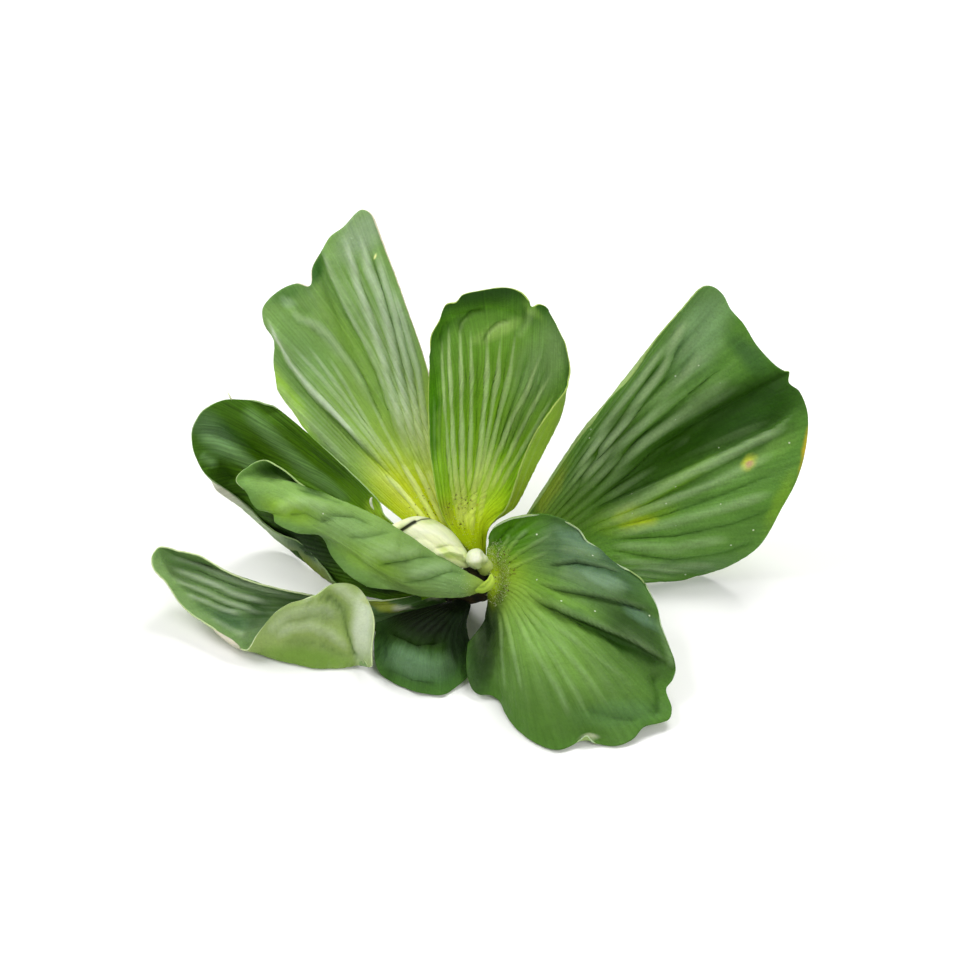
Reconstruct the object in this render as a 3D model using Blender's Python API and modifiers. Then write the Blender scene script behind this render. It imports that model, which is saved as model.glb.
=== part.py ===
"""A water lettuce: a short stem, eight leaves, a rolled young leaf and a bud.

The plant lies as it was picked, on its stem's cut end and on its lowest leaves.
Each leaf is a fan: its veins start at the stem and spread out to the margin.
"""

import math

import bmesh
import bpy
from mathutils import Vector

MM = 0.001
SOLID = "water_lettuce"

# The picture plane stands square to the line of sight and passes through the heart,
# which is the middle of the rosette. The stem's cut end is centred on the origin.
HEART = Vector((10.0, -8.0, 18.0))
EYE_DISTANCE = 680.0
EYE_ELEVATION = math.radians(40.0)
HEART_BELOW_MIDDLE = 28.0

SIGHT = Vector((0.0, math.cos(EYE_ELEVATION), -math.sin(EYE_ELEVATION)))
ACROSS = Vector((1.0, 0.0, 0.0))
UPWARD = Vector((0.0, math.sin(EYE_ELEVATION), math.cos(EYE_ELEVATION)))
EYE = HEART + UPWARD * HEART_BELOW_MIDDLE - SIGHT * EYE_DISTANCE

LEAF_THICKNESS = 1.2
LEAF_ACROSS = 16
LEAF_ALONG = 9
SOCKET_CLEARANCE = 1.5

# The stem's middle line and radius at these heights, from the cut end up to the heart.
STEM_HEIGHTS = [0.0, 4.0, 8.0, 12.0, 17.0, 21.0]
STEM_MIDDLE = [
    Vector((0.0, 0.0)), Vector((1.5, -1.0)), Vector((5.5, -4.5)),
    Vector((9.0, -7.0)), Vector((10.0, -8.0)), Vector((10.0, -8.0)),
]
STEM_RADIUS = [5.6, 5.8, 6.2, 6.4, 5.8, 3.0]
STEM_SIDES = 20
STEM_RINGS = 8


def seen(right, up, height):
    """The point that shows at (right, up) mm from the heart and is height mm off the floor."""
    through = HEART + ACROSS * right + UPWARD * up - EYE
    return EYE + through * ((height - EYE.z) / through.z)


def marks(points):
    """How far along a row each of its points is, from 0 to 1, measured along the row."""
    far = [0.0]
    for before, after in zip(points, points[1:]):
        far.append(far[-1] + (after - before).length)
    return [distance / far[-1] for distance in far]


def slope(points, places, index):
    low = max(index - 1, 0)
    high = min(index + 1, len(points) - 1)
    return (points[high] - points[low]) / (places[high] - places[low])


def smooth(points, places, at):
    """The smooth curve through points, which are at places, read at one place."""
    index = 0
    while index < len(points) - 2 and at > places[index + 1]:
        index += 1
    span = places[index + 1] - places[index]
    t = (at - places[index]) / span
    return (
        points[index] * (2 * t**3 - 3 * t**2 + 1)
        + slope(points, places, index) * span * (t**3 - 2 * t**2 + t)
        + points[index + 1] * (3 * t**2 - 2 * t**3)
        + slope(points, places, index + 1) * span * (t**3 - t**2)
    )


def socket(turn, height):
    """A point beside the stem's flank, turn degrees round from +X, height mm off the floor."""
    middle = smooth(STEM_MIDDLE, STEM_HEIGHTS, height)
    reach = smooth(STEM_RADIUS, STEM_HEIGHTS, height) + SOCKET_CLEARANCE
    angle = math.radians(turn)
    return Vector((middle.x + reach * math.cos(angle), middle.y + reach * math.sin(angle), height))


# Each leaf: where it sits on the stem (from, to and height), then its rows, which all run the
# same way round. A row's key is how far along the veins it lies, and 1 is the margin.
# A point is (right, up, height): two readings from the picture and a height off the floor.
LEAVES = {
    "leaf_back_left": {
        "socket": (112, 142, 17),
        "rows": {
            0.5: [(-16, 62, 60), (-22, 60, 56), (-28, 53, 50), (-34, 47, 45), (-36, 38, 38), (-32, 25, 29)],
            1.0: [
                (-31, 104, 95), (-33, 108, 98), (-36, 109, 98),
                (-41, 103, 93), (-46, 99, 89), (-50, 92, 84), (-51, 87, 80), (-55, 87, 79),
                (-60, 85, 76), (-65, 80, 71), (-64, 75, 66), (-62, 68, 59), (-61, 61, 52),
                (-59, 55, 47), (-57, 49, 42), (-53, 44, 37),
            ],
        },
    },
    "leaf_back": {
        "socket": (104, 74, 19),
        "rows": {
            0.5: [(-15, 36, 47), (-6, 45, 49), (6, 47, 50), (15, 44, 50), (17, 33, 44)],
            1.0: [
                (-15, 66, 77), (-13, 75, 88), (-10, 80, 94), (-5, 83, 98), (1, 85, 99),
                (7, 86, 100), (13, 84, 98), (19, 80, 92), (23, 75, 86), (26, 66, 78), (27, 59, 71),
            ],
        },
    },
    "leaf_right": {
        "socket": (52, 14, 13),
        "rows": {
            0.5: [(20, 27, 38), (30, 40, 42), (40, 40, 36), (47, 30, 27), (49, 18, 20), (43, 5, 13), (29, -2, 7)],
            1.0: [
                (38, 51, 56), (45, 59, 62), (51, 67, 67), (57, 75, 72), (63, 82, 76), (67, 86, 78),
                (70, 86, 77), (73, 83, 74), (79, 75, 68), (83, 67, 63), (92, 60, 57), (93, 57, 55),
                (97, 53, 53), (99, 47, 50), (97, 35, 42), (95, 28, 36), (90, 18, 27), (84, 7, 15),
                (79, 5, 9), (67, 0, 0.7), (61, -2, 0.3), (50, -3, 0.7),
            ],
        },
    },
    "leaf_front_right": {
        "socket": (8, -58, 17),
        "rows": {
            0.5: [
                (6, 6, 25), (13, 9, 29), (22, 7, 29), (29, -1, 27), (32, -12, 24), (31, -21, 21),
                (22, -26, 19), (12, -26, 17), (4, -20, 14), (1, -14, 13),
            ],
            1.0: [
                (4, 13, 31), (10, 17, 35), (19, 18, 35), (26, 16, 31), (32, 10, 26), (36, 7, 24),
                (45, 0, 21), (50, -4, 19), (53, -9, 16), (55, -17, 13), (58, -25, 10), (59, -30, 8),
                (57, -36, 5), (57, -43, 3), (50, -46, 2), (45, -51, 0.7), (40, -52, 0.7), (32, -50, 2),
                (25, -53, 0.7), (19, -52, 0.7), (13, -48, 0.7), (7, -42, 0.7), (3, -37, 1), (-2, -35, 2),
                (-4, -28, 6), (-3, -21, 9),
            ],
        },
    },
    "leaf_front": {
        "socket": (262, 226, 11),
        "rows": {
            0.5: [(-5, -15, 9), (-10, -21, 9), (-17, -21, 11), (-22, -17, 11), (-22, -13, 10)],
            1.0: [
                (-4, -21, 6), (-4, -28, 2), (-7, -34, 0.7), (-13, -36, 0.7), (-20, -35, 0.7),
                (-27, -32, 0.7), (-30, -29, 2), (-31, -24, 5), (-31, -17, 8),
            ],
        },
    },
    "leaf_left_low": {
        "socket": (180, 224, 8),
        "rows": {
            0.4: [(-30, -8, 11), (-30, -9, 9), (-29, -11, 7), (-28, -12, 5), (-27, -15, 2)],
            0.75: [
                (-54, -6, 13), (-62, -5, 10), (-60, -12, 6), (-57, -20, 3), (-50, -27, 2),
                (-43, -28, 2), (-36, -26, 2),
            ],
            1.0: [
                (-72, -1, 17), (-84, 5, 19), (-92, 7, 20), (-98, 7, 20), (-98, 2, 18), (-94, -2, 15),
                (-88, -10, 10), (-76, -19, 6), (-70, -22, 6), (-66, -15, 13), (-57, -9, 18),
                (-48, -6, 20), (-42, -3, 21), (-36, -5, 20), (-32, -11, 17), (-32, -19, 13), (-33, -27, 8),
            ],
        },
    },
    "leaf_left": {
        "socket": (142, 176, 12),
        "rows": {
            0.5: [(-37, 29, 36), (-43, 26, 26), (-46, 20, 20), (-42, 11, 11), (-36, 1, 4)],
            1.0: [
                (-65, 51, 50), (-73, 52, 51), (-80, 51, 50), (-85, 46, 46), (-86, 40, 40),
                (-83, 30, 30), (-78, 25, 23), (-72, 20, 16), (-65, 14, 7), (-57, 7, 1), (-48, 0, 1),
            ],
        },
    },
    "leaf_left_inner": {
        "socket": (160, 212, 19),
        "rows": {
            0.5: [(-27, 13, 30), (-30, 16, 34), (-31, 8, 31), (-27, 0, 24), (-18, -6, 16)],
            1.0: [
                (-49, 23, 34), (-55, 28, 38), (-60, 32, 41), (-64, 34, 42), (-69, 32, 42), (-73, 28, 42),
                (-70, 24, 39), (-66, 18, 35), (-62, 17, 34), (-55, 13, 31), (-48, 11, 28), (-44, 5, 24),
                (-40, 0, 22), (-34, -4, 19),
            ],
        },
    },
}

LEAF_COLOURS = {
    "leaf_back_left": (0.28, 0.44, 0.10),
    "leaf_back": (0.20, 0.38, 0.06),
    "leaf_right": (0.09, 0.24, 0.05),
    "leaf_front_right": (0.13, 0.29, 0.07),
    "leaf_front": (0.03, 0.08, 0.02),
    "leaf_left_low": (0.13, 0.26, 0.11),
    "leaf_left": (0.06, 0.16, 0.02),
    "leaf_left_inner": (0.16, 0.33, 0.09),
}


def colour(name, red, green, blue, roughness):
    made = bpy.data.materials.new(name)
    made.use_nodes = True
    shader = made.node_tree.nodes["Principled BSDF"]
    shader.inputs["Base Color"].default_value = (red, green, blue, 1.0)
    shader.inputs["Roughness"].default_value = roughness
    shader.inputs["Metallic"].default_value = 0.0
    made.diffuse_color = (red, green, blue, 1.0)
    return made


def piece(name, shape, material, collection):
    """One named object from a bmesh that holds millimetres."""
    shape.normal_update()
    bmesh.ops.scale(shape, vec=(MM, MM, MM), verts=shape.verts)
    mesh = bpy.data.meshes.new(name)
    shape.to_mesh(mesh)
    shape.free()
    mesh.materials.append(material)
    mesh.shade_smooth()
    made = bpy.data.objects.new(name, mesh)
    collection.objects.link(made)
    return made


def leaf(name, plan, collection):
    """A square sheet bent onto the leaf's rows, then given its thickness."""
    start, stop, height = plan["socket"]
    rows = {0.0: [socket(start, height), socket((start + stop) / 2, height), socket(stop, height)]}
    for place, row in plan["rows"].items():
        rows[place] = [seen(*point) for point in row]
    places = sorted(rows)
    spacing = {place: marks(rows[place]) for place in places}

    shape = bmesh.new()
    bmesh.ops.create_grid(shape, x_segments=LEAF_ACROSS, y_segments=LEAF_ALONG, size=0.5)
    for corner in shape.verts:
        round_leaf = corner.co.x + 0.5
        along_vein = corner.co.y + 0.5
        vein = [smooth(rows[place], spacing[place], round_leaf) for place in places]
        corner.co = smooth(vein, places, along_vein)
    made = piece(name, shape, colour(name, *LEAF_COLOURS[name], 0.55), collection)
    wall = made.modifiers.new("thickness", "SOLIDIFY")
    wall.thickness = LEAF_THICKNESS * MM
    wall.offset = 0.0
    return made


def stem(collection):
    """A drum whose rings are moved onto the stem's middle line."""
    shape = bmesh.new()
    bmesh.ops.create_cone(
        shape, cap_ends=True, cap_tris=False, segments=STEM_SIDES, radius1=1.0, radius2=1.0, depth=1.0
    )
    upright = [e for e in shape.edges if abs(e.verts[0].co.z - e.verts[1].co.z) > 0.5]
    bmesh.ops.subdivide_edges(shape, edges=upright, cuts=STEM_RINGS, use_grid_fill=True)
    for corner in shape.verts:
        height = (corner.co.z + 0.5) * STEM_HEIGHTS[-1]
        middle = smooth(STEM_MIDDLE, STEM_HEIGHTS, height)
        radius = smooth(STEM_RADIUS, STEM_HEIGHTS, height)
        corner.co = Vector((middle.x + corner.co.x * radius, middle.y + corner.co.y * radius, height))
    return piece("stem", shape, colour("stem", 0.06, 0.07, 0.02, 0.6), collection)


def drop(name, line, radii, sides, rings, material, collection):
    """A closed round body that swells and narrows along a line: a bud or a rolled leaf."""
    places = marks(line)
    shape = bmesh.new()
    bmesh.ops.create_uvsphere(shape, u_segments=sides, v_segments=rings, radius=1.0)
    level = {}
    for corner in shape.verts:
        place = math.acos(max(-1.0, min(1.0, -corner.co.z))) / math.pi
        middle = smooth(line, places, place)
        ahead = smooth(line, places, min(place + 0.02, 1.0)) - smooth(line, places, max(place - 0.02, 0.0))
        turned = Vector((0.0, 0.0, 1.0)).rotation_difference(ahead.normalized())
        radius = smooth(radii, places, place)
        level[corner] = middle + turned @ Vector((corner.co.x * radius, corner.co.y * radius, 0.0))
    for corner, place in level.items():
        corner.co = place
    return piece(name, shape, material, collection)


YOUNG_LEAF_LINE = [seen(-4, 6, 24), seen(-8, 9, 25), seen(-15, 12, 27), seen(-22, 13, 28), seen(-27, 13, 27)]
YOUNG_LEAF_RADII = [1.8, 2.8, 3.8, 3.0, 1.0]
BUD_LINE = [seen(-1, 1, 23), seen(-1, 3, 25), seen(-1, 5, 27), seen(-1, 7, 29)]
BUD_RADII = [2.0, 3.0, 3.2, 2.0]


def main():
    for old in list(bpy.data.objects):
        bpy.data.objects.remove(old)
    collection = bpy.data.collections.new(SOLID)
    bpy.context.scene.collection.children.link(collection)

    stem(collection)
    for name, plan in LEAVES.items():
        leaf(name, plan, collection)
    cream = colour("young_leaf", 0.84, 0.88, 0.46, 0.5)
    white = colour("bud", 0.70, 0.78, 0.52, 0.5)
    drop("young_leaf", YOUNG_LEAF_LINE, YOUNG_LEAF_RADII, 14, 9, cream, collection)
    drop("bud", BUD_LINE, BUD_RADII, 12, 8, white, collection)


main()
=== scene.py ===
# %% [markdown]
# # A water lettuce, lying as it was picked
# Water lettuce is a floating plant: a rosette of soft, ribbed, velvety leaves round a very
# short stem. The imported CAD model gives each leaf's place. Here each CAD leaf is replaced by
# a finer one with ribs, folds, a thin pale margin and a living leaf's colours.

import math
import random

import bmesh
import bpy
from mathutils import Matrix, Vector, kdtree, noise


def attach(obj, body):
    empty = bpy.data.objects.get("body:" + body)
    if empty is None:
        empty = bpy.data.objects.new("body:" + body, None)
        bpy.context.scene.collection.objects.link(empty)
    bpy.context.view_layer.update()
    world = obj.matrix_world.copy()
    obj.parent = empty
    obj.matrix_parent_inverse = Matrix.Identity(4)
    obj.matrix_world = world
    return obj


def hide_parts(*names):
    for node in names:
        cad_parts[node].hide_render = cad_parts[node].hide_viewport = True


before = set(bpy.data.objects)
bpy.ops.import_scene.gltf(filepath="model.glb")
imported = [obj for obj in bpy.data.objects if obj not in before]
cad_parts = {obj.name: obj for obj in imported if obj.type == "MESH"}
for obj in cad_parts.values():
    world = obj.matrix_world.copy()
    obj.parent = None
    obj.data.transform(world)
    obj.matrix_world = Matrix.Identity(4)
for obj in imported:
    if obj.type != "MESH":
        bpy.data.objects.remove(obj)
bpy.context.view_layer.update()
print("CAD nodes:", sorted(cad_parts))

# %% [markdown]
# ## The camera, and a way to measure from the picture
# The picture was taken from the front, looking down at about 40 degrees, with a long lens.
# A leaf is soft and has no straight edge to measure, so each point of a leaf is written as
# three numbers: how far right and how far up it shows in the picture, and its height off the
# floor. `seen` turns them into a place in space. Changing a height then never moves an
# outline in the picture, so each leaf's depth can be shaped on its own. All are millimetres.

# %% Camera and the picture plane
MM = 0.001
HEART = Vector((10.0, -8.0, 18.0))
EYE_DISTANCE = 680.0
EYE_ELEVATION = math.radians(40.0)
HEART_BELOW_MIDDLE = 28.0
SIGHT = Vector((0.0, math.cos(EYE_ELEVATION), -math.sin(EYE_ELEVATION)))
ACROSS = Vector((1.0, 0.0, 0.0))
UPWARD = Vector((0.0, math.sin(EYE_ELEVATION), math.cos(EYE_ELEVATION)))
EYE = HEART + UPWARD * HEART_BELOW_MIDDLE - SIGHT * EYE_DISTANCE

lens = bpy.data.cameras.new("camera")
lens.lens = 85.0
lens.sensor_width = 36.0
camera = bpy.data.objects.new("camera", lens)
camera.location = EYE * MM
camera.rotation_mode = "QUATERNION"
camera.rotation_quaternion = SIGHT.to_track_quat("-Z", "Y")
bpy.context.scene.collection.objects.link(camera)
bpy.context.scene.camera = camera


def seen(right, up, height):
    """The point that shows at (right, up) mm from the heart and is height mm off the floor."""
    through = HEART + ACROSS * right + UPWARD * up - EYE
    return EYE + through * ((height - EYE.z) / through.z)


def shown(point):
    """Where a point in space shows in the picture: mm right of and above the heart."""
    ray = point - EYE
    on_plane = EYE + ray * ((HEART - EYE).dot(SIGHT) / ray.dot(SIGHT)) - HEART
    return Vector((on_plane.x, on_plane.dot(UPWARD)))


print("camera stands", round(EYE.length), "mm from the stem's foot")

# %% [markdown]
# ## Floor and light
# The plant was shot on white under large soft lights, so shadows are faint and the velvet of
# the leaves shows as a pale veil. A white floor, a bright even sky and three large lamps give
# that. The Standard view keeps the greens as bright as they are mixed.


# %% Colours, nodes and finished pieces: three small helpers
def linear(code):
    """An sRGB hex colour as the linear red, green, blue and alpha that Blender mixes."""
    parts = [int(code[i:i + 2], 16) / 255 for i in (1, 3, 5)]
    return [c / 12.92 if c <= 0.04045 else ((c + 0.055) / 1.055) ** 2.4 for c in parts] + [1.0]


def add(tree, kind, inputs, **settings):
    """Adds a node, sets its properties, and gives each input a number or a link."""
    node = tree.nodes.new(kind)
    for name, value in settings.items():
        setattr(node, name, value)
    for name, value in inputs.items():
        if isinstance(value, bpy.types.NodeSocket):
            tree.links.new(value, node.inputs[name])
        else:
            node.inputs[name].default_value = value
    return node


def finish_piece(name, shape, materials):
    """Makes a bmesh in millimetres into one object whose place is in its mesh."""
    bmesh.ops.scale(shape, vec=(MM, MM, MM), verts=shape.verts)
    mesh = bpy.data.meshes.new(name)
    shape.to_mesh(mesh)
    shape.free()
    for material in materials:
        mesh.materials.append(material)
    mesh.shade_smooth()
    made = bpy.data.objects.new(name, mesh)
    bpy.context.scene.collection.objects.link(made)
    return made


# %% Floor, sky and lamps
FLOOR_HALF_WIDTH = 3000.0
paper = bpy.data.materials.new("matte_white_paper")
paper.use_nodes = True
paper_tree = paper.node_tree
paper_place = add(paper_tree, "ShaderNodeTexCoord", {}).outputs["Object"]
paper_grain = add(paper_tree, "ShaderNodeTexNoise", {"Vector": paper_place, "Scale": 900.0})
paper_bump = add(
    paper_tree, "ShaderNodeBump",
    {"Height": paper_grain.outputs["Fac"], "Strength": 0.1, "Distance": 0.0001},
)
paper_shader = paper_tree.nodes["Principled BSDF"]
paper_shader.inputs["Base Color"].default_value = linear("#F7F7F5")
paper_shader.inputs["Roughness"].default_value = 0.95
paper_tree.links.new(paper_bump.outputs["Normal"], paper_shader.inputs["Normal"])

floor_shape = bmesh.new()
bmesh.ops.create_grid(floor_shape, x_segments=1, y_segments=1, size=FLOOR_HALF_WIDTH)
floor = finish_piece("floor", floor_shape, [paper])

sky = bpy.data.worlds.new("sky")
sky.use_nodes = True
sky.node_tree.nodes["Background"].inputs["Color"].default_value = (1.0, 1.0, 1.0, 1.0)
sky.node_tree.nodes["Background"].inputs["Strength"].default_value = 0.34
bpy.context.scene.world = sky
bpy.context.scene.view_settings.view_transform = "Standard"

# Each lamp: name, place in metres, width in metres, watts. All point at the plant's middle.
LAMPS = [
    ("lamp_left", (-0.60, 0.10, 0.75), 0.45, 5.0),
    ("lamp_back", (0.25, 0.55, 0.90), 0.5, 7.6),
    ("lamp_front", (0.50, -0.70, 0.70), 0.5, 4.3),
]
PLANT_MIDDLE = Vector((0.0, 0.0, 0.03))
for name, place, width, watts in LAMPS:
    lamp = bpy.data.lights.new(name, "AREA")
    lamp.size = width
    lamp.energy = watts
    lamp_object = bpy.data.objects.new(name, lamp)
    lamp_object.location = place
    aim = PLANT_MIDDLE - Vector(place)
    lamp_object.rotation_euler = aim.to_track_quat("-Z", "Y").to_euler()
    bpy.context.scene.collection.objects.link(lamp_object)
print("floor, sky and", len(LAMPS), "lamps are ready")

# %% [markdown]
# ## How a leaf is shaped
# A water lettuce leaf is a fan: its veins leave the stem side by side and spread to the
# margin. So a leaf is given as a few rows of points across the veins, from the stem to the
# margin, and a flat grid is bent onto the smooth surface through them. It could be sculpted
# or cut from a subdivided plane, but rows keep every outline where the picture shows it.


# %% A smooth curve through a row of points
def marks(points):
    """How far along a row each of its points is, from 0 to 1, measured along the row."""
    far = [0.0]
    for before, after in zip(points, points[1:]):
        far.append(far[-1] + (after - before).length)
    return [distance / far[-1] for distance in far]


def slope(points, places, index):
    """Which way the smooth curve runs at one of its points."""
    low = max(index - 1, 0)
    high = min(index + 1, len(points) - 1)
    return (points[high] - points[low]) / (places[high] - places[low])


def smooth(points, places, at):
    """The smooth curve through points, which are at places, read at one place."""
    index = 0
    while index < len(points) - 2 and at > places[index + 1]:
        index += 1
    span = places[index + 1] - places[index]
    t = (at - places[index]) / span
    return (
        points[index] * (2 * t**3 - 3 * t**2 + 1)
        + slope(points, places, index) * span * (t**3 - 2 * t**2 + t)
        + points[index + 1] * (3 * t**2 - 2 * t**3)
        + slope(points, places, index + 1) * span * (t**3 - t**2)
    )


def ease(at, start, stop):
    """0 before start and 1 after stop, with a soft change between."""
    t = min(max((at - start) / (stop - start), 0.0), 1.0)
    return t * t * (3 - 2 * t)


# %% The stem's outline, which the leaves start from
STEM_HEIGHTS = [0.0, 4.0, 8.0, 12.0, 17.0, 21.0]
STEM_MIDDLE = [
    Vector((0.0, 0.0)), Vector((1.5, -1.0)), Vector((5.5, -4.5)),
    Vector((9.0, -7.0)), Vector((10.0, -8.0)), Vector((10.0, -8.0)),
]
STEM_RADIUS = [5.6, 5.8, 6.2, 6.4, 5.8, 3.0]
SOCKET_CLEARANCE = 1.5  # mm from the stem's flank to a leaf's first row


def socket(turn, height):
    """A point beside the stem's flank, turn degrees round from +X, height mm off the floor."""
    middle = smooth(STEM_MIDDLE, STEM_HEIGHTS, height)
    reach = smooth(STEM_RADIUS, STEM_HEIGHTS, height) + SOCKET_CLEARANCE
    angle = math.radians(turn)
    return Vector((middle.x + reach * math.cos(angle), middle.y + reach * math.sin(angle), height))


# %% [markdown]
# ## Ribs, folds and lips
# The real leaves are pleated by their veins, creased where they bent as they grew, and their
# margins turn up in places. Ribs follow the veins, so they are a repeated ridge across the
# grid, steep on one side like a pleat. A fold is a line drawn on the picture that lifts or
# sinks the leaf along the line of sight, so it shades but never shifts an outline. A step
# does the same with a sudden drop on one side. Ribs, folds and steps also tint the colour:
# paler on ridges and crests, partly their own colour and partly painted highlight, and deeper
# green in grooves and creases, partly painted shade. A lip turns the last strip of the margin
# over the leaf's face, so that its underside shows.


# %% Ribs and folds as heights
RIB_CROWDING = 0.014    # how far ribs crowd together or part, in leaf widths
RIB_WANDER = 0.16       # how far a rib strays from its line, in ribs
RIB_CREST = 0.38        # where a rib's crest stands between its two grooves
RIB_SHUFFLE = 12.9898   # turns neighbouring ribs' strengths apart, so that no two are alike
RIB_FADE_IN = 0.12      # share of the leaf's length over which ribs rise
RIB_FADE_OUT = 0.2      # and over which they die away towards the margin
FOLD_REACH = 3.0        # how far a fold moves the leaf, in widths to each side of its line
CREASE_SPREAD = 1.5     # how fast a crease's side flattens out
CREASE_ROUNDING = 0.02  # keeps a crease's bottom from being a kink
STEP_RUN = 0.5          # mm across which a step rises
STEP_SINK = 0.6         # how deep a step's low side lies, as a share of its high side
STEP_TINT_FADE = 2.6    # how fast a step's tint fades away from its line


def rib(count, first, last, u, v):
    """How high the nearest of count ribs stands here, from 0 to 1."""
    crowded = u + RIB_CROWDING * math.sin(9.0 * u + count)
    phase = count * crowded + RIB_WANDER * noise.noise(Vector((u * 5, v * 2, count)))
    number = math.floor(phase)
    t = phase - number
    # Each rib has its own strength, from 0.2 to 1.
    strength = 0.6 + 0.4 * math.sin(RIB_SHUFFLE * number + count)
    ridge = ease(t, 0.0, RIB_CREST) * (1 - ease(t, RIB_CREST, 1.0))
    inner_end = ease(v, first, first + RIB_FADE_IN)
    outer_end = 1 - ease(v, last - RIB_FADE_OUT, last)
    return strength * ridge * inner_end * outer_end


def nearest(line, at):
    """The distance from a place in the picture to a line, its side, and how far along it is."""
    best, side, along = 1e9, 1.0, 0.0
    steps = len(line) - 1
    for index in range(steps):
        start, stop = Vector(line[index]), Vector(line[index + 1])
        reach = stop - start
        t = min(max((at - start).dot(reach) / reach.length_squared, 0.0), 1.0)
        away = (at - start - reach * t).length
        if away < best:
            side = 1.0 if reach.x * (at.y - start.y) - reach.y * (at.x - start.x) > 0 else -1.0
            best, along = away, (index + t) / steps
    return best, side, along


def fold_here(fold, at, stepped):
    """How much a fold lifts the leaf at a place in the picture, and how much painted highlight or shade it
    lays on it.
    """
    line, width, lift, tint = fold
    reach = FOLD_REACH * width
    # A place beyond reach of the box round the line is left as it is.
    for axis in (0, 1):
        if not min(p[axis] for p in line) - reach < at[axis] < max(p[axis] for p in line) + reach:
            return 0.0, 0.0
    away, side, along = nearest(line, at)
    away /= width
    if away > FOLD_REACH:
        return 0.0, 0.0
    # A fold rises over the first fifth of its line and dies away over the last fifth.
    ends = ease(along, -0.02, 0.18) * (1 - ease(along, 0.82, 1.02))
    if stepped:
        # The leaf stands high on the line's left side and drops at once on its right side.
        edge = min(away * width / STEP_RUN, 1.0)
        rise = 1.0 if side > 0 else STEP_SINK
        share = side * edge * rise * (1 - ease(away, 0.0, FOLD_REACH)) * ends
        # The tint paints a highlight along the high edge and shade on the low side.
        return share * lift, side * edge * math.exp(-away * STEP_TINT_FADE) * tint * ends
    # A ridge is round on top, and a crease is sharp at its bottom.
    if lift > 0:
        shape = math.exp(-away * away)
    else:
        shape = math.exp(-CREASE_SPREAD * math.sqrt(away * away + CREASE_ROUNDING))
    return shape * ends * lift, shape * ends * tint


def all_folds_here(folds, steps, at):
    """What all of a piece's folds and steps do at one place: their lift and their painted highlight and
    shade.
    """
    lift, pale, deep = 0.0, 0.0, 0.0
    for stepped, lines in ((False, folds), (True, steps)):
        for fold in lines:
            here, shade = fold_here(fold, at, stepped)
            lift += here
            pale, deep = max(pale, shade), min(deep, shade)
    return lift, pale + deep


# %% Bend a grid onto the rows and give it its ribs, folds and thickness
LEAF_ACROSS = 224       # grid faces from one side of the leaf to the other
LEAF_ALONG = 124        # grid faces from the stem to the margin
FLESH = 2.0             # mm thick at the stem
MARGIN_SHARE = 0.24     # of that at the margin
LIP_FULL_TURN = 1.5     # mm wide from which a lip turns right on the leaf's outline
LIP_RISE = 0.8          # how far a lip stands up, as a share of its width
WAVES_PER_MM = 0.07
WAVE_HEIGHT = 0.6       # mm, and so are the next three heights
RUFFLES = 11            # across the margin
RUFFLE_HEIGHT = 0.9
PIMPLES_PER_MM = 0.55
PIMPLE_HEIGHT = 0.13
GRAINS_PER_MM = 1.1
GRAIN_HEIGHT = 0.06
# The grooves' deeper green is partly their own colour and partly painted shade.
GROOVE_GREEN_AND_SHADE = 0.3       # how deep the green is between ribs, as a share of how pale they are
OFF_THE_FLOOR = 0.1     # mm that a leaf's underside stays above the floor
MAP_UNIT = 100.0        # mm of the picture to one unit of the picture map


def leaf_rows(plan):
    """The leaf's rows in space, with a turned-up lip where the plan has one."""
    start, stop, height = plan["socket"]
    rows = {0.0: [socket(turn, height) for turn in (start, (start + stop) / 2, stop)]}
    rows.update({place: [seen(*point) for point in row] for place, row in plan["rows"].items()})
    margin = marks(rows[1.0])
    # A row with as many points as the margin is a copy of it, point for point.
    spacing = {
        place: margin if len(row) == len(margin) else marks(row) for place, row in rows.items()
    }
    if "lip" in plan:
        places = sorted(rows)
        turn, edge = [], []
        keys = sorted(plan["lip"])
        for index, (point, at) in enumerate(zip(rows[1.0], margin)):
            low = max([key for key in keys if key <= index], default=keys[0])
            high = min([key for key in keys if key >= index], default=keys[-1])
            share = (index - low) / (high - low) if high > low else 0.0
            curl = plan["lip"][low] * (1 - share) + plan["lip"][high] * share
            vein = [smooth(rows[place], spacing[place], at) for place in places]
            inside = smooth(vein, places, plan["lip_from"])
            turn.append(inside.lerp(point, min(curl / LIP_FULL_TURN, 1.0)))
            inward = (inside - point).normalized()
            edge.append(point + inward * curl + (EYE - point).normalized() * curl * LIP_RISE)
        rows[plan["lip_from"]] = turn
        rows[1.0] = edge
        spacing[plan["lip_from"]] = margin
        spacing[1.0] = margin
    return rows, spacing


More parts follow.
